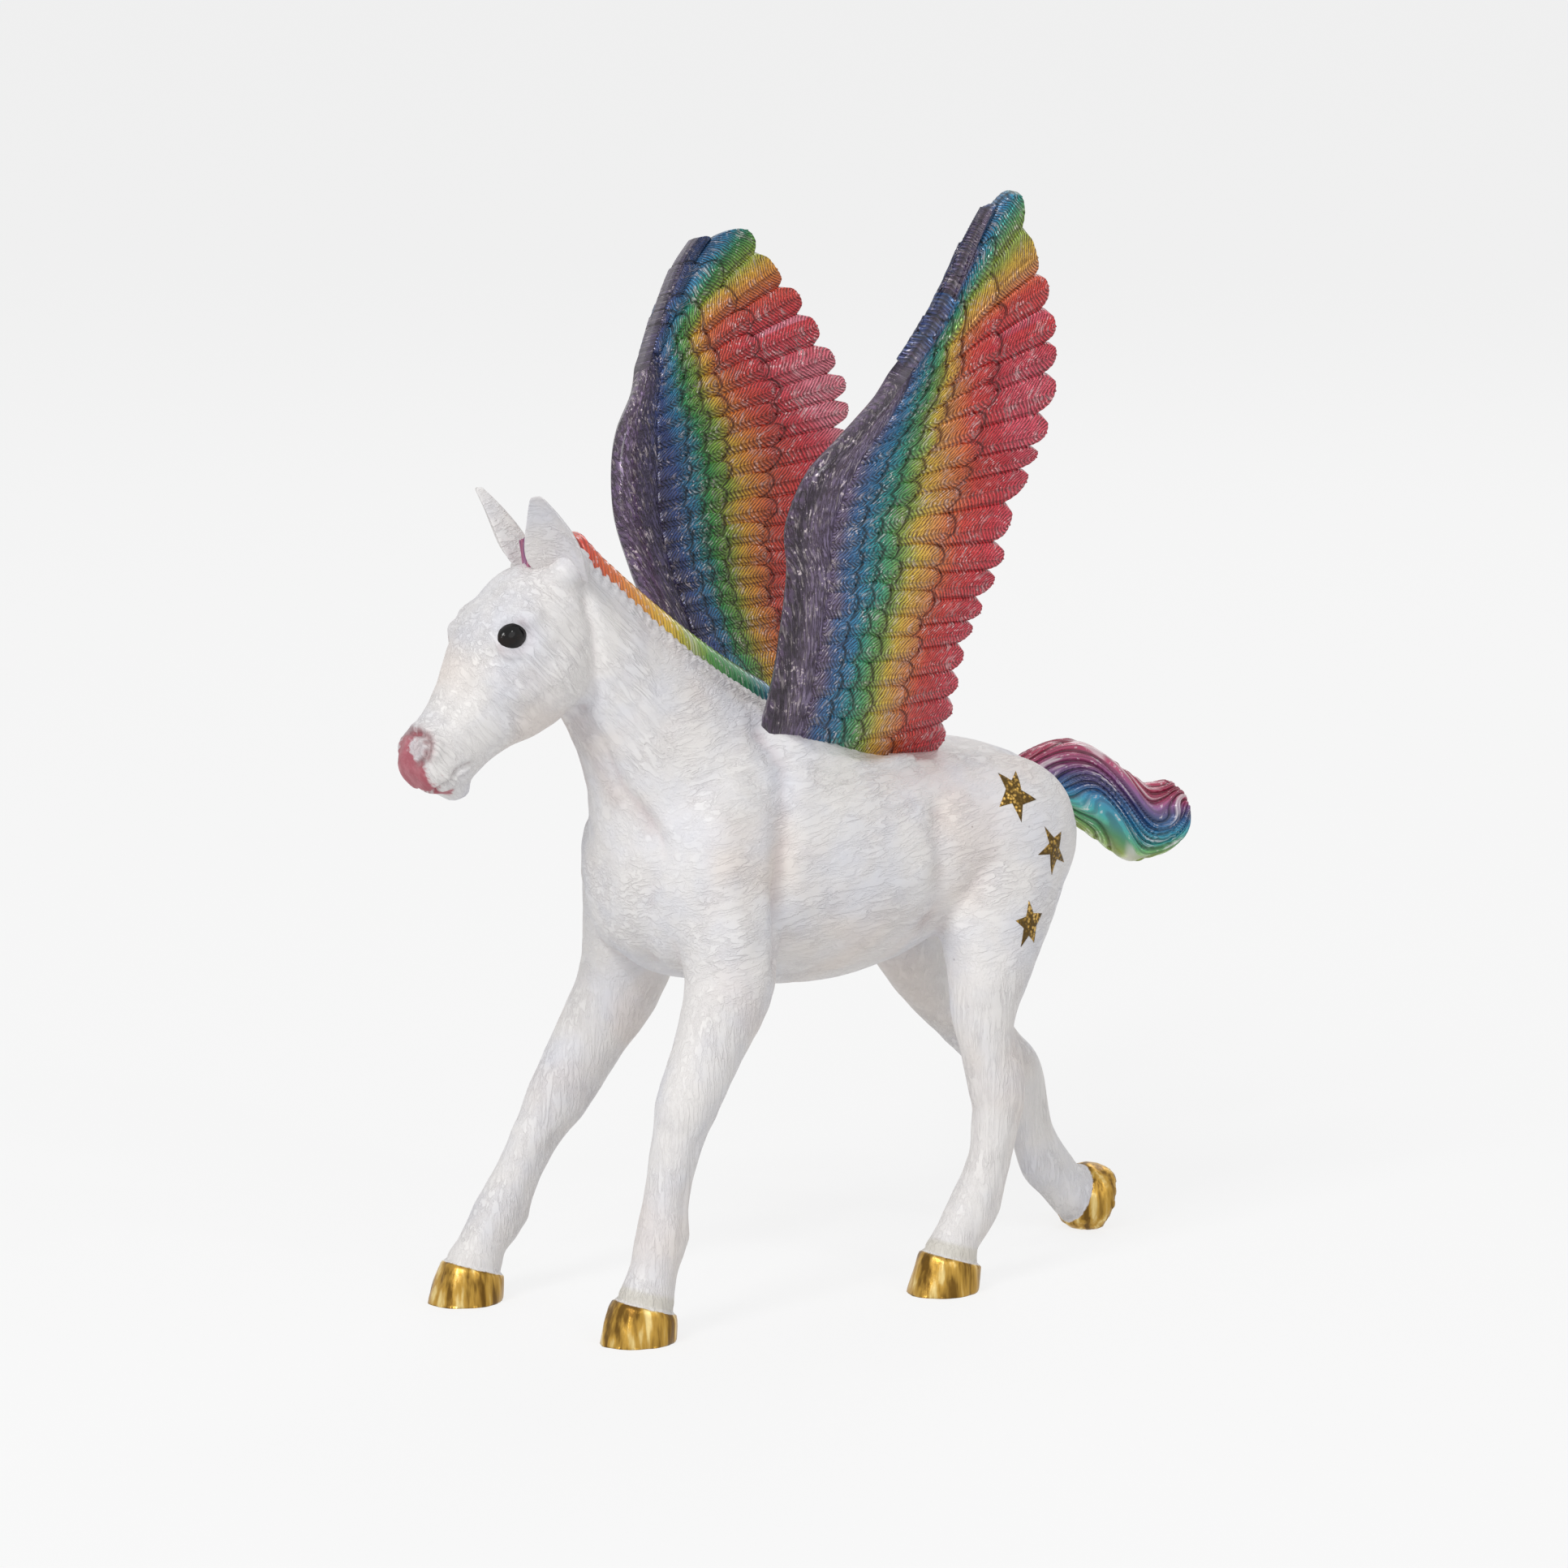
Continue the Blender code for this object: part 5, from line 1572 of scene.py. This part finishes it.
def paint_wing(data):
    """Stores the rainbow band and the grooves at the rims on the joined mesh."""
    blade = stored(data, "blade", 3)
    groove = np.clip(1.0 - stored(data, "raised"), 0.0, 1.0) * 0.9 + 0.25 * rise(blade[:, 0], 0.95, 1.0)
    store(data, "band", rainbow_band(stored(data, "spread", 3)) + 0.018 * stored(data, "shade"))
    store(data, "groove", np.clip(groove, 0.0, 1.0))


def joined_mesh(name, parts):
    """Several meshes as one, with the rims that meet closed up."""
    mesh = bmesh.new()
    for part in parts:
        mesh.from_mesh(part)
    bmesh.ops.remove_doubles(mesh, verts=mesh.verts[:], dist=0.001 * MM)
    bmesh.ops.dissolve_degenerate(mesh, edges=mesh.edges[:], dist=0.0005 * MM)
    return mesh_data(name, mesh)


def make_wing(name, outline, side, settings, finish, tree, blanks):
    """One wing: feather rows on both faces of the slab that carries them."""
    sheet = wing_sheet(name + "_sheet", outline, side)
    count = len(outline["tips"]) - 1
    coverts, flights = plan_rows(settings.seed, count)
    plans = [feather_plan(name + "_coverts", coverts), feather_plan(name + "_flights", flights)]
    parts = [wing_core(name + "_core", outline, side)]
    for face_side in (1.0, -1.0):
        for plan, blank in zip(plans, blanks):
            part = run_tree(plan, tree, **{"Blank": blank, "Sheet": sheet, "Face Side": face_side,
                                           "Finish": finish})
            if face_side * side < 0:
                part.flip_normals()
            store(part, "inner_face", np.full(len(part.vertices), 0.0 if face_side > 0 else 1.0))
            parts.append(part)
    core = parts[0]
    store(core, "inner_face", (stored(core, "spread", 3)[:, 2] < 0).astype(float))
    for key, value in (("raised", 1.0), ("relief", 0.0), ("shade", 0.0), ("strength", 0.0)):
        store(core, key, np.full(len(core.vertices), value))
    for key in ("blade", "size"):
        core.attributes.new(key, "FLOAT_VECTOR", "POINT")
    data = joined_mesh(name + "_feathers", parts)
    paint_wing(data)
    item = linked_object(name + "_feathers", data)
    data.materials.clear()
    data.materials.append(finish)
    for spare in (sheet, *plans):
        bpy.data.objects.remove(spare, do_unlink=True)
    return item


def lock_tree():
    """Sweeps a ribbed ring along every guide line, as thick as the line's girth says."""
    locks = NodeRow("hair_locks", {"Guides": "Geometry", "Ring": "Object", "Finish": "Material"}, "Locks")
    add, given = locks.add, locks.given
    lock_ring = add("GeometryNodeObjectInfo", {"Object": given["Ring"]})["Geometry"]
    profile = add("GeometryNodeMeshToCurve", {"Mesh": lock_ring})["Curve"]
    guides = add("GeometryNodeMeshToCurve", {"Mesh": given["Guides"]})["Curve"]
    swept = add("GeometryNodeCurveToMesh", {"Curve": guides, "Profile Curve": profile,
                                            "Scale": locks.named("girth"), "Fill Caps": True})["Mesh"]
    return locks.finished(add("GeometryNodeRealizeInstances", {"Geometry": swept})["Geometry"])


def ribbed_ring(sides):
    """The section of one lock: a circle with fine ribs, one unit across its radius."""
    mesh = bmesh.new()
    verts = []
    for index in range(sides):
        angle = math.tau * index / sides
        radius = 1.0 + 0.10 * (1.0 if index % 3 == 0 else -0.5)
        verts.append(mesh.verts.new((radius * math.cos(angle), 0.72 * radius * math.sin(angle), 0.0)))
    for index in range(sides):
        mesh.edges.new((verts[index], verts[(index + 1) % sides]))
    return from_mesh("lock_ring", mesh)


def lock_guides(name, lines):
    """Guide lines of places, girth in millimetres and rainbow place, as loose edges."""
    verts, edges, girths, bands = [], [], [], []
    for line in lines:
        start = len(verts)
        for index, (place, girth, band) in enumerate(line):
            verts.append(tuple(place * MM))
            girths.append(girth * MM)
            bands.append(band)
            if index:
                edges.append((start + index - 1, start + index))
    data = bpy.data.meshes.new(name)
    data.from_pydata(verts, edges, [])
    store(data, "girth", girths)
    store(data, "band", bands)
    return linked_object(name, data)


def tail_station(way):
    """The tail's middle, the direction up across it and its half sizes."""
    back_top, up_top, back_low, up_low = follow(TAIL_EDGES, way)
    top = Vector((0.0, back_top, up_top))
    low = Vector((0.0, back_low, up_low))
    closing = math.sqrt(max(1.0 - (max(way - 0.90, 0.0) / 0.10) ** 2, 0.0))
    half_width = (0.55 + 0.12 * math.sin(math.pi * way)) * TAIL_THICKNESS * closing
    return (top + low) / 2.0, (top - low).normalized(), (top - low).length / 2.0 * closing, half_width


def tail_body(settings, sides=168, rings=270):
    """The tail as one carved form: grooves that rise, fall and rise again along a curled shape."""
    groove, band, threads, loops = [], [], [], []
    depth = settings.groove_depth / MM
    for i in range(rings):
        way = i / (rings - 1.0)
        middle, up, half_depth, half_width = tail_station(min(way, 0.9995))
        loop = []
        for j in range(sides):
            angle = math.tau * j / sides
            fan = math.sin(angle)
            side = math.cos(angle)
            swing = -0.34 * math.cos(math.tau * (way - 0.30 - 0.05 * fan) / 0.74)
            swing *= min(1.0, 0.35 + 2.0 * way)
            ply = (fan + swing + 0.11 * math.sin(5.0 * (fan + swing) + 0.7)) * settings.tail_grooves / 2.0
            ply += 0.62 * math.sin(math.tau * (1.5 * way + 0.55 * fan) + 1.3) + 0.5 * (side > 0.0)
            strand = abs(math.sin(math.pi * ply)) ** 0.8
            broad = 0.5 + 0.5 * math.sin(math.tau * ply / 2.7 + 0.8)
            thread = ply * 3.0 + 0.3 * math.sin(9.0 * way)
            lift = depth * (1.25 * (strand - 0.62) + 0.55 * (broad - 0.5))
            lift += 0.10 * math.sin(math.tau * thread)
            lift *= min(1.0, half_depth / 2.2) * (1.0 - 0.75 * rise(way, 0.84, 0.97))
            aside = Vector((side * (half_width + lift), 0.0, 0.0))
            loop.append(middle + up * (fan * (half_depth + 0.5 * lift)) + aside)
            drop = 0.5 - 0.5 * fan
            groove.append(1.0 - min(1.0, 0.12 + 0.95 * strand))
            shift = 0.14 * rise(way, 0.45, 0.7) * (1.0 - drop) + 0.20 * rise(way, 0.75, 1.0) * drop
            band.append(drop + 0.06 * swing + 0.05 * (broad - 0.5) - shift)
            threads.append(thread)
        loops.append(loop)
    mesh = bmesh.new()
    skin(mesh, loops)
    bmesh.ops.recalc_face_normals(mesh, faces=mesh.faces[:])
    item = from_mesh("tail", mesh)
    store(item.data, "band", band)
    store(item.data, "groove", groove)
    store(item.data, "thread", threads)
    return item


def mane_lines(count):
    """Locks that rise from the crest's left edge, cross it and fall over the right side."""
    lines = []
    chance = np.random.default_rng(5)
    for number in range(count):
        share = 0.06 + 0.93 * (number + 0.5) / count
        _, crest, half = neck_station(share)
        fall = 0.9 + 0.16 * math.sin(1.9 * number) + chance.uniform(-0.08, 0.08)
        fall *= min(1.0, 0.25 + 3.2 * share)
        crown = math.sin(math.pi * min(0.16 + share * 0.84, 0.92)) ** 0.5
        wave = 0.7 * math.sin(0.8 * number)
        poll = share ** 3
        guide = [
            crest + Vector((1.7 + 0.9 * poll, 0.0, -1.0 - 1.2 * poll)),
            crest + Vector((1.2 + 0.5 * poll, -0.05, 1.05 * crown + 0.3 * poll)),
            crest + Vector((-0.9, 0.1, 1.95 * crown + 0.5 * poll)),
            crest + Vector((-2.8, 0.5 + 0.2 * wave, 0.35)),
            crest + Vector((-0.77 * half - 0.9, 1.2 + wave, -3.2 * fall)),
            crest + Vector((-0.95 * half - 1.0, 2.0 - 0.6 * wave, -6.8 * fall)),
            crest + Vector((-half - 0.5, 2.7 + 0.9 * wave, -10.2 * fall)),
        ]
        line = []
        for way in shares(28):
            girth = (0.33 + 0.06 * (number % 2)) * (0.7 + 0.3 * min(1.0, 6.0 * way))
            girth *= 1.0 + 0.6 * math.sin(math.pi * way)
            girth *= 1.0 - 0.75 * way ** 5
            band = (1.0 - share) * 0.86 + chance.uniform(-0.015, 0.015)
            line.append((Vector(follow(guide, way)), girth, band))
        lines.append(line)
    for strand in range(5):
        fan = strand / 2.0 - 1.0
        line = []
        for way in shares(12):
            upright = Vector((0.3 + fan * (0.4 + 0.3 * way), -1.3 - 0.3 * way, -2.2 + 3.6 * way))
            place = POLL + upright + Vector((0.0, 0.12 * math.sin(4.0 * way + strand), -0.3 * abs(fan) * way))
            line.append((place, 0.42 * (1.0 - 0.5 * way ** 2), 0.97 + 0.03 * math.sin(2.0 * strand)))
        lines.append(line)
    return lines


def make_locks(name, lines, tree, lock_ring, finish):
    """The locks along the lines as one piece, with the grooves between their ribs stored."""
    guides = lock_guides(name + "_guides", lines)
    data = run_tree(guides, tree, **{"Ring": lock_ring, "Finish": finish})
    bpy.data.objects.remove(guides, do_unlink=True)
    data.name = name
    mesh = bmesh.new()
    mesh.from_mesh(data)
    bmesh.ops.recalc_face_normals(mesh, faces=mesh.faces[:])
    mesh.to_mesh(data)
    mesh.free()
    sides = len(lock_ring.data.vertices)
    ribs = np.arange(len(data.vertices)) % sides % 3
    store(data, "groove", np.where(ribs == 0, 0.0, 0.40))
    store(data, "thread", np.arange(len(data.vertices)) % sides / 3.0)
    return linked_object(name, data)


def make_ear(side, finish):
    """One ear, hollow in front, with what its paint follows."""
    mesh = bmesh.new()
    add_ear(mesh, side)
    bmesh.ops.recalc_face_normals(mesh, faces=mesh.faces[:])
    item = from_mesh("left_ear" if side > 0 else "right_ear", mesh)
    places, normals = places_of(item.data)
    base, tip, turn = ear_frame(side)
    inward = normals @ np.array(turn @ Vector((0.0, -1.0, 0.0)))
    up = (places[:, 2] - base.z) / (tip.z - base.z)
    for name, value in (("hollow", 0.0), ("cream", 0.0), ("leg_share", 0.0), ("neck_share", 0.0),
                        ("crease_grey", 0.0), ("hoof", NO_HOOF), ("muzzle", NO_MUZZLE)):
        store(item.data, name, np.full(len(places), value))
    # A faint flush with painted shade inside the ear: darker on faces turned into its hollow, less towards
    # the tip
    store(item.data, "inside", 0.07 * rise(inward, 0.35, 0.9) * (1.0 - 0.7 * rise(up, 0.35, 0.85)))
    item.data.materials.append(finish)
    return item


def make_stars(coat, finish):
    """Thin five-pointed foils that lie on the skin of the left haunch."""
    skin_tree = BVHTree.FromPolygons([tuple(vert.co) for vert in coat.data.vertices],
                                     [tuple(face.vertices) for face in coat.data.polygons])

    def laid(point, lift):
        place, normal, _, _ = skin_tree.find_nearest(Vector(point) * MM)
        return place + normal * (lift * MM)

    mesh = bmesh.new()
    for corners in LEFT_HAUNCH_STARS:
        outline = [tuple(np.add(np.array(one) * (1.0 - step / 5.0), np.array(two) * step / 5.0))
                   for one, two in zip(corners, corners[1:] + corners[:1]) for step in range(5)]
        centre = np.mean(corners, axis=0)
        loops = [[mesh.verts.new(laid(centre + (np.array(point) - centre) * share, lift))
                  for point in outline] for share, lift in STAR_RINGS]
        for outer, inner in zip(loops[1:], loops):
            for index in range(len(outer)):
                following = (index + 1) % len(outer)
                mesh.faces.new((inner[index], inner[following], outer[following], outer[index]))
        for loop, (_, lift) in ((loops[0], STAR_RINGS[0]), (loops[-1], STAR_RINGS[-1])):
            middle = mesh.verts.new(laid(centre, lift))
            for index in range(len(loop)):
                mesh.faces.new((middle, loop[(index + 1) % len(loop)], loop[index]))
    bmesh.ops.recalc_face_normals(mesh, faces=mesh.faces[:])
    item = from_mesh("haunch_stars", mesh)
    item.data.materials.append(finish)
    return item


def make_eye(side, finish):
    """A domed eye that sits between its lids, its long way rising to the back."""
    mesh = bmesh.new()
    centre = Vector((side * (EYE_CENTRE[0] - 0.80), EYE_CENTRE[1], EYE_CENTRE[2]))
    turn = Matrix.Rotation(math.radians(side * 6.0), 4, "Z") @ Matrix.Rotation(math.radians(20.0), 4, "X")
    size = Matrix.Diagonal((1.05 * MM, 1.70 * MM, 1.36 * MM)).to_4x4()
    bmesh.ops.create_uvsphere(mesh, u_segments=48, v_segments=32, radius=1.0,
                              matrix=Matrix.Translation(centre * MM) @ turn @ size)
    item = from_mesh("left_eye" if side > 0 else "right_eye", mesh)
    item.data.materials.append(finish)
    return item


def make_floor():
    """A wide white floor that glows a little where the camera or a gloss sees it."""
    mesh = bmesh.new()
    bmesh.ops.create_circle(mesh, cap_ends=True, segments=96, radius=12.0)
    floor = from_mesh("floor", mesh)
    finish = Finish("floor_white")
    path = finish.node("ShaderNodeLightPath", output="Is Camera Ray")
    glossy = Signal(finish, path.socket.node.outputs["Is Glossy Ray"])
    clear = Signal(finish, path.socket.node.outputs["Is Transmission Ray"])
    seen = path.most(glossy).most(clear)
    plain = finish.node("ShaderNodeBsdfDiffuse", {"Color": (0.80, 0.80, 0.80, 1.0)})
    white = finish.node("ShaderNodeEmission", {"Color": (1.0, 1.0, 1.0, 1.0), "Strength": 1.0})
    mixed = finish.node("ShaderNodeMixShader", {0: seen * 0.80, 1: plain, 2: white})
    target = finish.tree.nodes["Material Output"].inputs["Surface"]
    finish.tree.links.new(mixed.socket, target)
    floor.data.materials.append(finish.material)
    return floor


def make_world(dim=0.42, bright=1.0):
    """White all round: dim as a light, bright where the camera or a gloss sees it."""
    world = bpy.data.worlds.new("studio")
    world.use_nodes = True
    nodes = world.node_tree.nodes
    link = world.node_tree.links.new
    back = nodes["Background"]
    rays = nodes.new("ShaderNodeLightPath")
    most = nodes.new("ShaderNodeMath")
    most.operation = "MAXIMUM"
    link(rays.outputs["Is Camera Ray"], most.inputs[0])
    link(rays.outputs["Is Glossy Ray"], most.inputs[1])
    level = nodes.new("ShaderNodeMapRange")
    level.inputs["To Min"].default_value = dim
    level.inputs["To Max"].default_value = bright
    link(most.outputs[0], level.inputs["Value"])
    back.inputs["Color"].default_value = (1.0, 1.0, 1.0, 1.0)
    link(level.outputs["Result"], back.inputs["Strength"])
    return world


def make_lights():
    for name, place, size, power in LIGHTS:
        light = bpy.data.lights.new(name, "AREA")
        light.shape = "DISK"
        light.size = size
        light.energy = power
        lamp = linked_object(name, light)
        lamp.location = place
        towards = Vector(LIGHTS_AIM) - lamp.location
        lamp.rotation_euler = towards.to_track_quat("-Z", "Y").to_euler()


def make_camera(settings):
    camera = linked_object("camera", bpy.data.cameras.new("camera"))
    camera.data.lens = settings.lens
    camera.data.sensor_width = 36.0
    camera.data.clip_end = 100.0
    turn, tilt = settings.azimuth, settings.elevation
    back = Vector((math.sin(turn) * math.cos(tilt), -math.cos(turn) * math.cos(tilt), math.sin(tilt)))
    camera.location = (Vector(CAMERA_AIM) + STAND) * MM + back * settings.distance
    camera.rotation_euler = back.to_track_quat("Z", "Y").to_euler()
    return camera


class FOAL_OT_coat(bpy.types.Operator):
    """Build the carved and painted body"""
    bl_idname = "foal.coat"
    bl_label = "Build Coat"

    def execute(self, context):
        item = make_coat(context.scene.foal_coat)
        ears = [make_ear(side, item.data.materials[0]) for side in (1.0, -1.0)]
        stars = make_stars(item, foil_finish())
        for piece in (item, *ears, stars):
            settle(piece, "body", "body")
        return {"FINISHED"}


class FOAL_OT_eyes(bpy.types.Operator):
    """Build the two glossy eyes"""
    bl_idname = "foal.eyes"
    bl_label = "Build Eyes"

    def execute(self, context):
        finish = eye_finish()
        for side in (1.0, -1.0):
            settle(make_eye(side, finish), "body", "body")
        return {"FINISHED"}


class FOAL_OT_hair(bpy.types.Operator):
    """Build the mane, the forelock and the tail"""
    bl_idname = "foal.hair"
    bl_label = "Build Mane and Tail"

    def execute(self, context):
        settings = context.scene.foal_hair
        tree = lock_tree()
        lock_ring = ribbed_ring(settings.lock_sides)
        mane = make_locks("mane", mane_lines(settings.mane_locks), tree, lock_ring,
                          rainbow_finish("mane_pearl_paint", MANE_RAINBOW))
        bpy.data.objects.remove(lock_ring, do_unlink=True)
        tail = tail_body(settings)
        tail.data.materials.append(rainbow_finish("tail_pearl_paint", TAIL_RAINBOW))
        for item in (mane, tail):
            settle(item, "body", "body")
        return {"FINISHED"}


class FOAL_OT_wings(bpy.types.Operator):
    """Build both feathered wings"""
    bl_idname = "foal.wings"
    bl_label = "Build Wings"

    def execute(self, context):
        settings = context.scene.foal_wings
        tree = feather_tree()
        finish = feather_finish()
        blanks = (feather_blank("covert_blank", settings, **COVERT_SHAPE),
                  feather_blank("flight_blank", settings, **FLIGHT_SHAPE))
        for name, outline, side in (("left_wing", LEFT_WING, 1.0), ("right_wing", RIGHT_WING, -1.0)):
            item = make_wing(name, outline, side, settings, finish, tree, blanks)
            settle(item, name, name)
        for blank in blanks:
            bpy.data.objects.remove(blank, do_unlink=True)
        return {"FINISHED"}


class FOAL_OT_stage(bpy.types.Operator):
    """Build the floor, the lights and the camera"""
    bl_idname = "foal.stage"
    bl_label = "Build Stage"

    def execute(self, context):
        scene = context.scene
        floor = make_floor()
        scene.world = make_world()
        make_lights()
        scene.camera = make_camera(scene.foal_stage)
        scene.view_settings.view_transform = "Standard"
        return {"FINISHED"}


class FOAL_PT_panel(bpy.types.Panel):
    """Lists the figurine's pieces"""
    bl_idname = "FOAL_PT_panel"
    bl_label = "Winged Foal"
    bl_space_type = "VIEW_3D"
    bl_region_type = "UI"
    bl_category = "Foal"

    def draw(self, context):
        for operator in OPERATORS:
            self.layout.operator(operator.bl_idname)
        for group in GROUPS:
            settings = getattr(context.scene, group)
            box = self.layout.box()
            for name in settings.bl_rna.properties.keys():
                if name not in ("rna_type", "name"):
                    box.prop(settings, name)


GROUPS = {
    "foal_coat": FoalCoatSettings,
    "foal_hair": FoalHairSettings,
    "foal_wings": FoalWingSettings,
    "foal_stage": FoalStageSettings,
}
OPERATORS = (FOAL_OT_stage, FOAL_OT_coat, FOAL_OT_eyes, FOAL_OT_hair, FOAL_OT_wings)


def register():
    for item in (*GROUPS.values(), *OPERATORS, FOAL_PT_panel):
        bpy.utils.register_class(item)
    for name, group in GROUPS.items():
        setattr(bpy.types.Scene, name, bpy.props.PointerProperty(type=group))


def unregister():
    for name in GROUPS:
        delattr(bpy.types.Scene, name)
    for item in (FOAL_PT_panel, *reversed(OPERATORS), *reversed(GROUPS.values())):
        bpy.utils.unregister_class(item)


def main():
    register()
    bpy.ops.foal.stage()
    bpy.ops.foal.coat()
    bpy.ops.foal.eyes()
    bpy.ops.foal.hair()
    bpy.ops.foal.wings()


if __name__ == "__main__":
    main()
